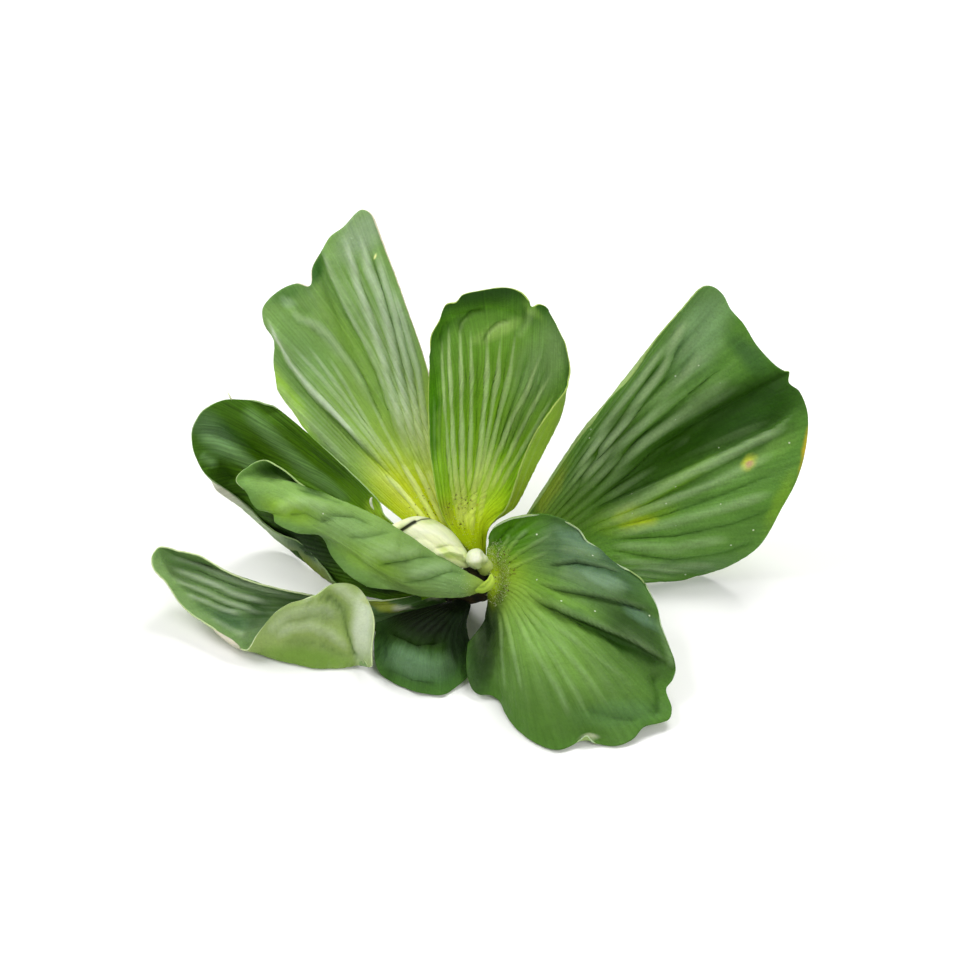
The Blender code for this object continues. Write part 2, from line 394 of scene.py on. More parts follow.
def grow_leaf(name, plan, materials):
    """One leaf: a grid bent onto its plan's rows, then folded, ribbed, mapped and thickened."""
    rows, spacing = leaf_rows(plan)
    places = sorted(rows)
    rib_count, rib_rise, rib_first, rib_last, rib_tint = plan["ribs"]
    shape = bmesh.new()
    bmesh.ops.create_grid(shape, x_segments=LEAF_ACROSS, y_segments=LEAF_ALONG, size=0.5)
    veins_map = shape.loops.layers.uv.new("veins")
    picture_map = shape.loops.layers.uv.new("picture")
    ridge_and_painted_light = shape.verts.layers.float.new("rib")
    flesh = shape.verts.layers.deform.verify()
    if plan["turned"]:
        bmesh.ops.reverse_faces(shape, faces=shape.faces)

    columns, where = {}, {}
    for corner in shape.verts:
        u, v = corner.co.x + 0.5, corner.co.y + 0.5
        column = round(u * LEAF_ACROSS)
        if column not in columns:
            columns[column] = [smooth(rows[place], spacing[place], u) for place in places]
        corner.co = smooth(columns[column], places, v)
        at = shown(corner.co)
        where[corner] = (u, v, at)
        lift, corner[ridge_and_painted_light] = all_folds_here(plan["folds"], plan.get("steps", []), at)
        # Folds begin a little way out, so that the leaf keeps its place beside the stem.
        corner.co += (EYE - corner.co).normalized() * lift * ease(v, 0.0, 0.15)
        # The flesh thins towards the margin and towards both sides.
        inner = (1 - v) ** 1.5 * ease(min(u, 1 - u), 0.0, 0.2)
        corner[flesh][0] = MARGIN_SHARE + (1 - MARGIN_SHARE) * inner

    shape.normal_update()
    for corner, (u, v, at) in where.items():
        ridge = rib(rib_count, rib_first, rib_last, u, v)
        # Broad waves begin clear of the stem, and ruffles only near the margin.
        wave = noise.noise(corner.co * WAVES_PER_MM) * WAVE_HEIGHT
        wave *= ease(v, 0.1, 0.5)
        ruffle = noise.noise(Vector((u * RUFFLES, v * 2, rib_count))) * RUFFLE_HEIGHT
        ruffle *= ease(v, 0.75, 1.0)
        pimple = noise.noise(corner.co * PIMPLES_PER_MM) * PIMPLE_HEIGHT
        grain = noise.noise(corner.co * GRAINS_PER_MM) * GRAIN_HEIGHT
        corner.co += corner.normal * (ridge * rib_rise + wave + ruffle + pimple + grain)
        corner.co.z = max(corner.co.z, FLESH * corner[flesh][0] / 2 + OFF_THE_FLOOR)
        # Above 0 is a pale ridge, partly painted highlight, and below 0 a deep green groove or crease, partly
        # painted shade.
        tint = corner[ridge_and_painted_light] + ((1 + GROOVE_GREEN_AND_SHADE) * ridge - GROOVE_GREEN_AND_SHADE) * rib_tint
        corner[ridge_and_painted_light] = min(max(tint, -1.0), 1.0)
    for face in shape.faces:
        for loop in face.loops:
            u, v, at = where[loop.vert]
            loop[veins_map].uv = (u, v)
            loop[picture_map].uv = (at.x / MAP_UNIT, at.y / MAP_UNIT)

    made = finish_piece(name, shape, materials)
    made.vertex_groups.new(name="flesh")
    wall = made.modifiers.new("thickness", "SOLIDIFY")
    wall.thickness = FLESH * MM
    wall.offset = 0.0
    wall.vertex_group = "flesh"
    wall.material_offset = 1
    wall.material_offset_rim = 2
    return made


# %% [markdown]
# ## What a leaf looks like
# The blade is soft living tissue under a dense velvet of short hairs. It is lime at the
# stem, where light comes through, and deeper green outwards. The raised ribs are paler, partly
# their own colour and partly painted highlight, and the grooves between them deeper green,
# partly painted shade. The hairs turn it grey-green at a slant, which is what sheen does, and
# that sheen is also painted into the colour as frosty streaks. A little light passes into the
# tissue. Colour runs along the veins by the leaf's own map, and each patch is a soft-edged
# ellipse laid on its picture map, so that none needs a painted image. Some patches are the
# leaf's own spots and tones, and many are painted shade, shadow, highlight or sheen.


# %% The leaf tissue
def leaf_tissue(
    name, tones, ridge_and_highlight_tone, groove_and_shade_tone, patches, rib_base=None, threads=0.10, frost_and_painted_sheen=0.0,
    roughness=0.52, sheen=0.03, specks=0.0, clouding=0.10, grain=0.05,
):
    """Velvety leaf skin. tones run from stem to margin; patches are soft ellipses of colour, some the leaf's
    own and many painted shade, highlight or sheen.
    """
    tissue = bpy.data.materials.new(name)
    tissue.use_nodes = True
    tree = tissue.node_tree
    shader = tree.nodes["Principled BSDF"]
    veins = add(tree, "ShaderNodeUVMap", {}, uv_map="veins").outputs["UV"]
    picture = add(tree, "ShaderNodeUVMap", {}, uv_map="picture").outputs["UV"]
    place = add(tree, "ShaderNodeTexCoord", {}).outputs["Object"]
    outward = add(tree, "ShaderNodeSeparateXYZ", {"Vector": veins}).outputs["Y"]

    # The ground colour runs from stem to margin.
    ramp = add(tree, "ShaderNodeValToRGB", {"Fac": outward})
    stops = ramp.color_ramp.elements
    for index, (at, tone) in enumerate(tones):
        stop = stops[index] if index < 2 else stops.new(at)
        stop.position = at
        stop.color = linear(tone)
    colour = ramp.outputs["Color"]

    # Layers go over it in this order. Each is where it shows and its colour.
    layers = []

    # Patches with wandering edges, 8 mm waves about 1 mm high.
    waves = add(tree, "ShaderNodeTexNoise", {"Vector": place, "Scale": 125.0, "Detail": 2.0})
    middle = add(
        tree, "ShaderNodeVectorMath", {0: waves.outputs["Color"], 1: (0.5, 0.5, 0.5)},
        operation="SUBTRACT",
    )
    wander = add(
        tree, "ShaderNodeVectorMath", {0: middle.outputs["Vector"], "Scale": 0.04}, operation="SCALE",
    )
    placed = add(
        tree, "ShaderNodeVectorMath", {0: picture, 1: wander.outputs["Vector"]}, operation="ADD",
    )
    for right, up, half_long, half_wide, turn, tone, strength in patches:
        ellipse = add(tree, "ShaderNodeMapping", {
            "Vector": placed.outputs["Vector"],
            "Location": (right / MAP_UNIT, up / MAP_UNIT, 0.0),
            "Rotation": (0.0, 0.0, math.radians(turn)),
            "Scale": (half_long / MAP_UNIT, half_wide / MAP_UNIT, 1.0),
        }, vector_type="TEXTURE")
        away = add(
            tree, "ShaderNodeVectorMath", {0: ellipse.outputs["Vector"]}, operation="LENGTH",
        )
        share = add(tree, "ShaderNodeMapRange", {
            "Value": away.outputs["Value"], "From Min": 1.0, "From Max": 0.2,
            "To Min": 0.0, "To Max": strength,
        }, interpolation_type="SMOOTHSTEP")
        layers.append((share.outputs["Result"], linear(tone)))

    # The ridges' tone, partly their own colour and partly painted highlight, yellower near the stem. A Mix
    # node's inputs 0, 6 and 7 are its share and its two colours, and its output 2 is the mixed colour.
    beyond = add(
        tree, "ShaderNodeMapRange", {"Value": outward, "From Min": 0.12, "From Max": 0.5},
        interpolation_type="SMOOTHSTEP",
    )
    pale = add(tree, "ShaderNodeMix", {
        0: beyond.outputs["Result"], 6: linear(rib_base or ridge_and_highlight_tone), 7: linear(ridge_and_highlight_tone),
    }, data_type="RGBA").outputs[2]

    # Frosty grey-green streaks about 10 mm wide along the veins: partly the hairs' own colour and partly
    # painted sheen.
    streak = add(tree, "ShaderNodeMapping", {"Vector": veins, "Scale": (9.0, 2.2, 1.0)})
    frost = add(tree, "ShaderNodeTexNoise", {
        "Vector": streak.outputs["Vector"], "Scale": 1.0, "Detail": 4.0, "Roughness": 0.6,
    })
    frost_and_sheen_share = add(tree, "ShaderNodeMapRange", {
        "Value": frost.outputs["Fac"], "From Min": 0.45, "From Max": 0.75,
        "To Min": 0.0, "To Max": frost_and_painted_sheen,
    }, interpolation_type="SMOOTHSTEP")
    layers.append((frost_and_sheen_share.outputs["Result"], pale))

    # Pale ridges and deep grooves and creases: partly the ribs' own colour, partly painted highlight on
    # ridges and painted shade in grooves and creases.
    height = add(tree, "ShaderNodeAttribute", {}, attribute_name="rib").outputs["Fac"]
    for full_at, strength, tone in ((1.0, 0.85, pale), (-1.0, 0.95, linear(groove_and_shade_tone))):
        share = add(tree, "ShaderNodeMapRange", {
            "Value": height, "From Min": 0.0, "From Max": full_at, "To Min": 0.0, "To Max": strength,
        })
        layers.append((share.outputs["Result"], tone))

    # Lay them all over the ground colour.
    for share, tone in layers:
        colour = add(tree, "ShaderNodeMix", {0: share, 6: colour, 7: tone}, data_type="RGBA").outputs[2]

    # Fine veins less than 1 mm apart, 12 mm clouds, and the velvet's own 0.8 mm grain.
    stretch = add(tree, "ShaderNodeMapping", {"Vector": veins, "Scale": (130.0, 4.0, 1.0)})
    fine = add(tree, "ShaderNodeTexNoise", {
        "Vector": stretch.outputs["Vector"], "Scale": 1.0, "Detail": 2.0,
    }).outputs["Fac"]
    clouds = add(tree, "ShaderNodeTexNoise", {
        "Vector": place, "Scale": 80.0, "Detail": 5.0, "Roughness": 0.65,
    }).outputs["Fac"]
    velvet = add(tree, "ShaderNodeTexNoise", {
        "Vector": place, "Scale": 1300.0, "Detail": 2.0, "Roughness": 0.6,
    }).outputs["Fac"]
    for source, amount in ((fine, threads), (clouds, clouding), (velvet, grain)):
        shade = add(tree, "ShaderNodeMapRange", {
            "Value": source, "From Min": 0.3, "From Max": 0.7, "To Min": 1 - amount, "To Max": 1 + amount,
        })
        colour = add(
            tree, "ShaderNodeMix", {0: 1.0, 6: colour, 7: shade.outputs["Result"]},
            data_type="RGBA", blend_type="MULTIPLY",
        ).outputs[2]

    # Dust: a pale grain about 0.5 mm wide in some of the 3 mm cells.
    if specks:
        cells = add(tree, "ShaderNodeTexVoronoi", {"Vector": place, "Scale": 300.0})
        near = add(tree, "ShaderNodeMapRange", {
            "Value": cells.outputs["Distance"], "From Min": 0.11, "From Max": 0.06,
            "To Min": 0.0, "To Max": 0.75,
        })
        pick = add(tree, "ShaderNodeSeparateXYZ", {"Vector": cells.outputs["Color"]})
        some = add(tree, "ShaderNodeMath", {0: pick.outputs["X"], 1: specks}, operation="LESS_THAN")
        dust = add(
            tree, "ShaderNodeMath", {0: near.outputs["Result"], 1: some.outputs["Value"]},
            operation="MULTIPLY",
        )
        colour = add(
            tree, "ShaderNodeMix", {0: dust.outputs["Value"], 6: colour, 7: linear("#DCE6C8")},
            data_type="RGBA",
        ).outputs[2]
    tree.links.new(colour, shader.inputs["Base Color"])

    # Relief: the fine veins and the hair bases as bump, under 0.3 mm deep.
    relief = add(tree, "ShaderNodeMath", {0: fine, 1: 0.7, 2: velvet}, operation="MULTIPLY_ADD")
    bump = add(
        tree, "ShaderNodeBump",
        {"Height": relief.outputs["Value"], "Strength": 0.8, "Distance": 0.00028},
    )
    tree.links.new(bump.outputs["Normal"], shader.inputs["Normal"])
    gloss = add(tree, "ShaderNodeMapRange", {
        "Value": clouds, "From Min": 0.3, "From Max": 0.7,
        "To Min": roughness - 0.06, "To Max": roughness + 0.08,
    })
    tree.links.new(gloss.outputs["Result"], shader.inputs["Roughness"])
    shader.inputs["IOR"].default_value = 1.40
    shader.inputs["Specular IOR Level"].default_value = 0.14
    shader.inputs["Sheen Weight"].default_value = sheen
    shader.inputs["Sheen Roughness"].default_value = 0.4
    shader.inputs["Sheen Tint"].default_value = linear("#D8E6D4")
    shader.inputs["Subsurface Weight"].default_value = 0.10
    shader.inputs["Subsurface Radius"].default_value = (0.6, 1.0, 0.1)
    shader.inputs["Subsurface Scale"].default_value = 0.0012
    return tissue


# %% [markdown]
# ## The eight leaves
# Each leaf is its own piece, as on the plant, where they part at the stem. A plan gives its
# place on the stem, its rows, its ribs (how many, how high, where they start and stop, how
# pale), its folds and its colours. The plans go round the plant: from the two leaves at the
# back, by the right and the front, to the three on the left.

# %% The two pale leaves at the back
# A fold is its line in the picture, its width, its height (below 0 it sinks), and its tint:
# above 0 it is painted paler, a painted highlight on the fold and the ridge's own paler green,
# below 0 deeper green, painted shade in the crease. A step is the same, but the leaf is high on
# the left of the line and low on its right, as where one part overlaps the next; its tint
# paints a highlight on the high edge and shade on the low side. A patch is its place in the
# picture, its half length and half width, its turn in degrees, its colour and its strength;
# some patches are the leaf's own colour, and many are painted shade, shadow, highlight or
# sheen. A lip gives how wide the margin is turned up at some of its points.
# A socket is where the leaf's base begins and ends round the stem, in degrees, and how high
# it is. "turned" swaps a leaf's two faces where its rows would put the upper skin below.
# "threads", "specks" and "grain" say how much its fine veins, dust and velvet show; one more key says how
# much frosty streaking lies over it, partly the hairs' own colour and partly painted sheen. Tones go from 0
# at the stem to 1 at the margin, and list those two ends first.
LEAVES = {}
LEAVES["leaf_back_left"] = {
    "socket": (112, 142, 17),
    "turned": True,
    "rows": {
        0.5: [(-16, 62, 60), (-22, 60, 56), (-28, 53, 50), (-34, 47, 45), (-38, 39, 38), (-37, 27.2, 30)],
        1.0: [
            (-31, 104, 95), (-33, 108, 98), (-36, 109, 98), (-41, 104, 94), (-45, 101, 91),
            (-47.4, 97, 88), (-50.4, 91.5, 84), (-51, 86.4, 80), (-55, 87, 79), (-60, 85, 76),
            (-65, 80, 71), (-65, 75.5, 67), (-62, 69.4, 60), (-61.7, 62, 52), (-60.6, 56, 47),
            (-58, 50.8, 42), (-53.6, 44.2, 37),
        ],
    },
    "ribs": (30, 0.22, 0.08, 1.0, 0.16),
    "threads": 0.11,
    "frost_and_painted_sheen": 0.14,
    "steps": [
        (
            [(-64.4, 77), (-61.8, 70.2), (-58.2, 63.3), (-51, 54.6), (-42.9, 46.2), (-36, 39), (-27, 30)],
            2.0, 2.4, 1.0,
        ),
        (
            [
                (-48.4, 97.4), (-46.8, 93.6), (-45, 88.8), (-42.4, 83.4), (-37.2, 72.6), (-30.6, 60.6),
                (-26.4, 47.4), (-24, 38),
            ],
            2.4, 1.5, 0.7,
        ),
    ],
    "folds": [
        ([(-64, 77), (-61, 70), (-57, 63), (-50, 54.6), (-42, 46.2), (-35, 39)], 0.5, 0.4, 1.0),
        ([(-62, 59), (-56, 50), (-47, 41), (-38, 31)], 1.2, 1.0, 0.3),
        ([(-48, 92), (-45.6, 84), (-41, 72), (-34, 56), (-27, 42)], 2.6, -2.2, -0.1),
        ([(-58, 81.6), (-54, 76.5), (-49, 74.4), (-45, 70.8), (-38, 62), (-30, 46)], 1.3, 1.0, 0.35),
        ([(-60, 82), (-55, 80), (-50, 77)], 2.4, -1.2, -0.3),
        (
            [(-41, 102), (-38.7, 94.5), (-36.3, 86), (-32.4, 75.3), (-29.4, 66), (-25, 50), (-20, 30)],
            1.2, 1.3, 0.75,
        ),
        ([(-38.6, 99), (-36, 88), (-32.8, 79), (-28, 63), (-23.6, 46)], 0.8, -0.8, -0.3),
        ([(-36, 103), (-33.3, 91), (-30, 84), (-25.8, 67.5), (-22, 49), (-17.4, 30)], 1.2, 1.3, 0.75),
        ([(-33, 96), (-30, 87), (-26, 74), (-22, 58)], 0.8, -0.8, -0.3),
        ([(-31, 98), (-28.6, 88), (-25, 77), (-21, 60), (-18.3, 44), (-15, 28)], 1.0, 1.1, 0.65),
        ([(-27, 88), (-22.5, 75), (-18.5, 61), (-16.3, 45), (-13, 28)], 0.8, 0.9, 0.6),
        ([(-57, 69), (-48, 59), (-38, 47), (-27, 33)], 0.5, 0.4, 0.35),
        ([(-52, 69), (-44, 58), (-35, 45), (-25, 31)], 0.4, 0.4, 0.4),
        ([(-46, 66), (-40, 56), (-32, 42), (-23, 29)], 0.4, 0.3, 0.35),
        ([(-40, 66), (-34, 54), (-28, 42), (-21, 29)], 0.35, 0.3, 0.35),
        ([(-29, 30), (-22, 23), (-15, 14)], 0.45, 0.4, 0.7),
        ([(-24, 34), (-18, 24), (-12, 13)], 0.45, 0.4, 0.8),
        ([(-20, 34), (-15, 24), (-10, 13)], 0.45, 0.4, 0.8),
        ([(-16, 32), (-12.4, 23), (-8.4, 13)], 0.45, 0.4, 0.7),
    ],
    "tones": [
        (0.0, "#ACBA00"), (1.0, "#7CA058"), (0.14, "#BCCC0C"), (0.3, "#A0BE34"), (0.5, "#86A94A"),
        (0.75, "#7DA252"),
    ],
    "ridge_and_highlight_tone": "#C4D4B6", "rib_base": "#E2EC80", "groove_and_shade_tone": "#5C8C30", "margin": "#D2CDB0",
    "patches": [
        # The dark patch in the notch at (-49.6, 91) is painted shade in its crease.
        (-38, 67, 30, 5, -61, "#82AA46", 0.85), (-49.6, 91, 8, 3.6, 70, "#3A6824", 1.0),
        (-58, 84, 10, 4.4, 15, "#547F3C", 0.8), (-35, 102, 15, 8, 45, "#93AA84", 0.85),
        (-52, 66, 20, 8, -50, "#78A058", 0.6), (-58, 52, 26, 5.4, -56, "#9EC844", 0.95),
        (-18, 20, 26, 12, -45, "#B6C600", 1.0), (-57.6, 81, 4, 2.4, -30, "#A0BC8E", 0.8),
        (-31.5, 95.4, 1.2, 0.6, 70, "#F0F5A0", 1.0), (-27, 48.6, 0.5, 0.4, 0, "#2E4A1A", 0.9),
        (-25, 77, 24, 6, -68, "#92B080", 0.5),
    ],
}
LEAVES["leaf_back"] = {
    "socket": (104, 74, 19),
    "turned": False,
    "rows": {
        0.12: [(-9.5, 14, 26.5), (-6, 16, 27), (-1.5, 16, 27.5), (1.5, 15, 27), (2.5, 13, 26)],
        0.25: [
            (-12.7, 21, 33), (-9, 24, 33.5), (-2, 26, 33.5), (5, 25.6, 34), (9, 22.6, 33), (10.3, 20, 31),
            (8, 19.5, 32),
        ],
        0.5: [(-15, 36, 47), (-6, 45, 49), (6, 47, 50), (14, 44, 50), (17.5, 34, 44), (13, 33.5, 47)],
        0.75: [(-15.5, 51, 62), (-6, 62, 71), (6, 66, 74), (17, 60, 67), (24.3, 48.4, 59.2), (19, 46, 62.5)],
        1.0: [
            (-15.3, 65, 77), (-14.7, 71, 83), (-12.3, 75.6, 88), (-10.4, 80.2, 94), (-7.2, 81, 95),
            (-5, 83.7, 98), (0.6, 84.8, 99), (7, 85.8, 100), (12, 84.4, 98), (14.6, 81.8, 96),
            (15.6, 80, 93), (18, 80.6, 92), (20.4, 79, 90), (23.1, 74.2, 84), (25.8, 68.7, 79),
            (27, 62, 73.5), (26.7, 57.4, 71), (25.5, 54.4, 70),
        ],
    },
    "ribs": (27, 0.42, 0.05, 0.84, 0.2),
    "threads": 0.18,
    "frost_and_painted_sheen": 0.0,
    "grain": 0.07,
    "steps": [
        ([(9.4, 76), (5.4, 75.2), (2.6, 72.8), (0.6, 68.6)], 1.2, 1.5, 1.3),
        ([(2, 79.2), (-2.4, 78.6), (-5.6, 75.6), (-6.2, 72)], 1.1, 1.2, 1.0),
    ],
    "folds": [
        (
            [(-11.4, 74), (-11.4, 62), (-10.8, 50), (-10, 38), (-8.8, 26), (-6.8, 18), (-6.4, 12.5)],
            0.3, 0.4, 0.8,
        ),
        ([(-9.4, 77), (-9.3, 64), (-8.8, 52), (-8.4, 40), (-7.4, 28), (-5.8, 18), (-5.2, 12)], 0.4, 0.7, 1.2),
        ([(-7.6, 76), (-7.4, 52), (-6.8, 34)], 0.7, -0.6, -0.6),
        ([(-6.1, 78), (-5.8, 64), (-5.7, 52), (-5.6, 40), (-5.4, 28), (-4.4, 18), (-3.8, 12)], 0.4, 0.8, 1.2),
        ([(-4.6, 76), (-4.4, 52), (-4.2, 34)], 0.6, -0.6, -0.6),
        ([(-2.9, 75), (-2.6, 60), (-2.7, 46), (-3.2, 34), (-3.2, 22)], 0.34, 0.7, 1.0),
        ([(-1, 70), (-1, 54), (-1.6, 38)], 0.8, -0.8, -0.8),
        ([(2.1, 74), (2.1, 61), (1.5, 52), (0.3, 40), (-1.3, 28), (-2.5, 17), (-2.2, 11)], 0.42, 0.9, 1.2),
        ([(4.2, 72), (3.6, 58), (2.2, 46), (0.4, 36)], 0.7, -0.6, -0.7),
        ([(6.4, 73), (5.1, 58), (3, 46), (0.8, 34), (-1.0, 23)], 0.36, 0.7, 1.0),
        ([(8.6, 70), (7, 58), (4.6, 46), (2, 34)], 0.8, -0.7, -0.7),
        ([(11, 74), (9, 61), (6, 49), (3.2, 37), (0.4, 26)], 0.36, 0.7, 0.9),
        ([(15, 68), (12.4, 58), (8.4, 47), (4.4, 36)], 1.2, -0.8, -0.7),
        ([(19, 68), (15, 57), (9.6, 46), (5.3, 36), (1.2, 24), (-0.4, 14)], 0.38, 0.7, 1.0),
        ([(21, 64), (16.4, 54), (11, 43), (5.6, 32)], 1.0, -0.8, -0.6),
        ([(22, 61), (16.5, 51), (11.1, 40), (6.4, 31), (2.9, 24)], 0.36, 0.7, 0.9),
        ([(22.6, 54), (17, 44), (11, 34), (5.4, 24)], 0.38, 0.6, 0.8),
        ([(-14.4, 66), (-11, 75.4), (-5, 78.6), (3, 80), (9, 79), (13, 77)], 1.9, -2.4, -0.7),
        ([(-12, 79), (-5, 82.6), (3, 83.8), (12, 82.6)], 2.0, 1.2, 0.0),
        ([(15.4, 80), (14.4, 75.4), (11, 70)], 1.3, 1.2, 0.3),
        ([(20, 72), (18, 62), (12, 48)], 2.4, -1.4, -0.3),
    ],
    "tones": [
        (0.0, "#A6BA00"), (1.0, "#2E5A14"), (0.14, "#AECB0A"), (0.30, "#8EC016"), (0.6, "#78A62C"),
        (0.86, "#6C983A"),
    ],
    "ridge_and_highlight_tone": "#B6D08C", "rib_base": "#CCDC5C", "groove_and_shade_tone": "#548A14", "margin": "#A4BC5C",
    "patches": [
        # The dark patches along the left edge at (-14.4, 50), under the curled top lip at (0, 84) and below
        # it at (-12.4, 74) are painted shade and shadow.
        (-14.4, 50, 28, 3.6, 88, "#447C00", 1.0), (0, 84, 22, 6.4, 6, "#1E3E0E", 1.0),
        (-12.4, 74, 8, 5, 50, "#2A5606", 0.9), (18, 62, 21, 10, 65, "#88A868", 0.85),
        # The pale patches at (5, 73) and (16, 79) are painted highlights on the small folds at the top.
        (5, 73, 12, 3.4, 25, "#9CBE62", 0.8), (16, 79, 6, 2.4, -50, "#7CA444", 0.7),
        (11, 46, 16, 6, 55, "#7A9E4C", 0.6), (-0.9, 20.7, 1.0, 0.7, 0, "#A8500C", 0.95),
        (-7, 31, 0.5, 0.45, 0, "#1E2A10", 1.0), (-6, 14, 12, 8, 60, "#B2CA00", 0.9),
        (-10, 19, 6, 2.4, 120, "#949A20", 0.5), (14, 30, 14, 3.0, 62, "#A0CC14", 0.8),
        (0, 27, 14, 7, 80, "#A2D020", 0.6),
    ],
    "under_tones": [(0.0, "#94A81C"), (1.0, "#6C8C3C"), (0.45, "#80A020"), (0.8, "#6C8C30")],
    "under_patches": [(19, 42, 20, 4.5, 62, "#84A82C", 0.9)],
}

# %% The large deep green leaf on the right
LEAVES["leaf_right"] = {
    "socket": (52, 14, 13),
    "turned": False,
    "rows": {
        0.5: [(20, 27, 38), (30, 40, 42), (40, 40, 36), (47, 30, 27), (49, 18, 20), (43, 5, 13), (29, -2, 7)],
        1.0: [
            (38, 51, 56), (45, 59, 62), (51, 67, 67), (57, 75, 72), (63, 82, 76), (67, 86, 78),
            (70, 86, 77), (73, 83.4, 74), (75.4, 79, 71), (79, 75, 68), (83, 68.5, 63), (88, 63, 59),
            (91.2, 60.8, 57.6), (92.8, 60.6, 57), (92.7, 57.2, 55), (96, 54.4, 54), (98.4, 47, 50),
            (97.4, 36, 42), (94.6, 27, 35), (90, 18.6, 27), (84.4, 8.6, 15), (79, 4.8, 9), (67, 0, 0.7),
            (61, -2, 0.3), (50, -3, 0.7),
        ],
    },
    "ribs": (23, 0.6, 0.04, 1.0, 0.34),
    "threads": 0.10,
    "frost_and_painted_sheen": 0.05,
    "grain": 0.10,
    "steps": [([(96, 50), (88, 43), (76, 37), (65, 32.6), (45, 23.6), (31.8, 17.7)], 2.4, 2.2, 0.6)],
    "folds": [
        ([(30, 19), (46, 29), (62, 40), (78, 51), (88, 58)], 6.0, -3.4, -0.4),
        ([(25.5, 24.3), (37.2, 44.4), (48.3, 58.8), (56, 69)], 1.0, 0.9, 0.7),
        ([(27, 22.5), (38.5, 42.6), (50, 57.6), (58, 69)], 0.7, -1.0, -0.9),
        ([(27.3, 22), (40.5, 42), (51.9, 57), (58.4, 69.9), (61.6, 77)], 1.3, 1.3, 0.8),
        ([(32, 30), (44, 45), (55, 58), (62.4, 74.4)], 0.9, -1.6, -0.8),
        ([(30, 23), (46, 42), (60, 57.6), (68, 70)], 1.3, 0.9, 0.4),
        ([(31, 22), (48, 41), (63, 54.4), (76, 64.5)], 1.0, -1.4, -0.8),
        ([(31.8, 21.6), (50, 40), (64, 51.4), (78, 60)], 1.3, 1.2, 0.5),
        ([(34, 21), (52, 37), (66, 46), (79, 54)], 1.1, -1.2, -0.7),
        ([(35, 19.6), (53, 33.4), (66, 42)], 1.2, 1.0, 0.4),
        ([(32.7, 14.6), (48.3, 22), (65.1, 31.2), (81.9, 39.4), (94, 44.8)], 1.3, 1.5, 0.7),
        ([(33, 14), (50, 20.4), (68, 30), (86, 39.4)], 0.8, -0.9, -0.6),
        ([(33.9, 13.2), (54, 20.6), (72.9, 28.6), (90, 36.4)], 1.3, 1.2, 0.6),
        ([(34, 12), (56, 17.4), (74, 24), (91, 31)], 0.7, -1.0, -0.7),
        ([(36, 11), (56, 14.8), (74, 19.6), (90, 25)], 1.3, 1.0, 0.5),
        ([(36, 9.6), (58, 11), (76, 15), (89, 20)], 0.7, -1.0, -0.7),
        ([(38, 8), (58, 7.6), (76, 11)], 1.3, 0.9, 0.4),
        ([(38, 6.8), (58, 4.2), (74, 6.6), (84, 10)], 0.7, -0.9, -0.7),
        ([(39, 5), (56, 1.6), (72, 3.4)], 1.2, 0.8, 0.3),
    ],
    "tones": [(0.0, "#7C980C"), (1.0, "#54802E"), (0.1, "#587E10"), (0.35, "#548026"), (0.75, "#618C3C")],
    "ridge_and_highlight_tone": "#A0BA86", "rib_base": "#789E30", "groove_and_shade_tone": "#2C5610", "margin": "#8CA85C",
    "patches": [
        # The two deep patches at (66, 43) and (85, 49) are painted shade in the broad valley.
        (66, 43, 50, 12, 34, "#284E00", 1.0), (85, 49, 30, 14, 36, "#1E4000", 1.0),
        (66, 73, 22, 11, 62, "#7C9E6A", 0.85), (80, 66, 12, 5, -45, "#3C602E", 0.8),
        (36, 36, 28, 10, 55, "#385E08", 1.0), (58, 26.4, 20, 3.2, 32, "#7CAE28", 0.7),
        (88, 37, 13, 3.6, 32, "#76A048", 0.6), (81, 33.6, 3.8, 2.8, 40, "#CCD030", 0.95),
        (81.2, 33.3, 2.2, 1.5, 30, "#D08C70", 1.0), (43.5, 18, 6, 2.8, 20, "#BCCC18", 0.9),
        (47.4, 15.3, 7, 3.4, 10, "#C8D020", 0.95), (46, 17, 17, 6, 14, "#82AA20", 0.7),
        (20.6, 24.8, 15, 2.8, 62, "#7E9420", 0.9), (98.2, 36, 16, 2.6, 80, "#D4B41C", 1.0),
        (90, 22, 16, 3.4, 65, "#7CA42C", 0.6), (60, 2, 26, 3.8, 8, "#587848", 0.75),
    ],
    "specks": 0.15,
}

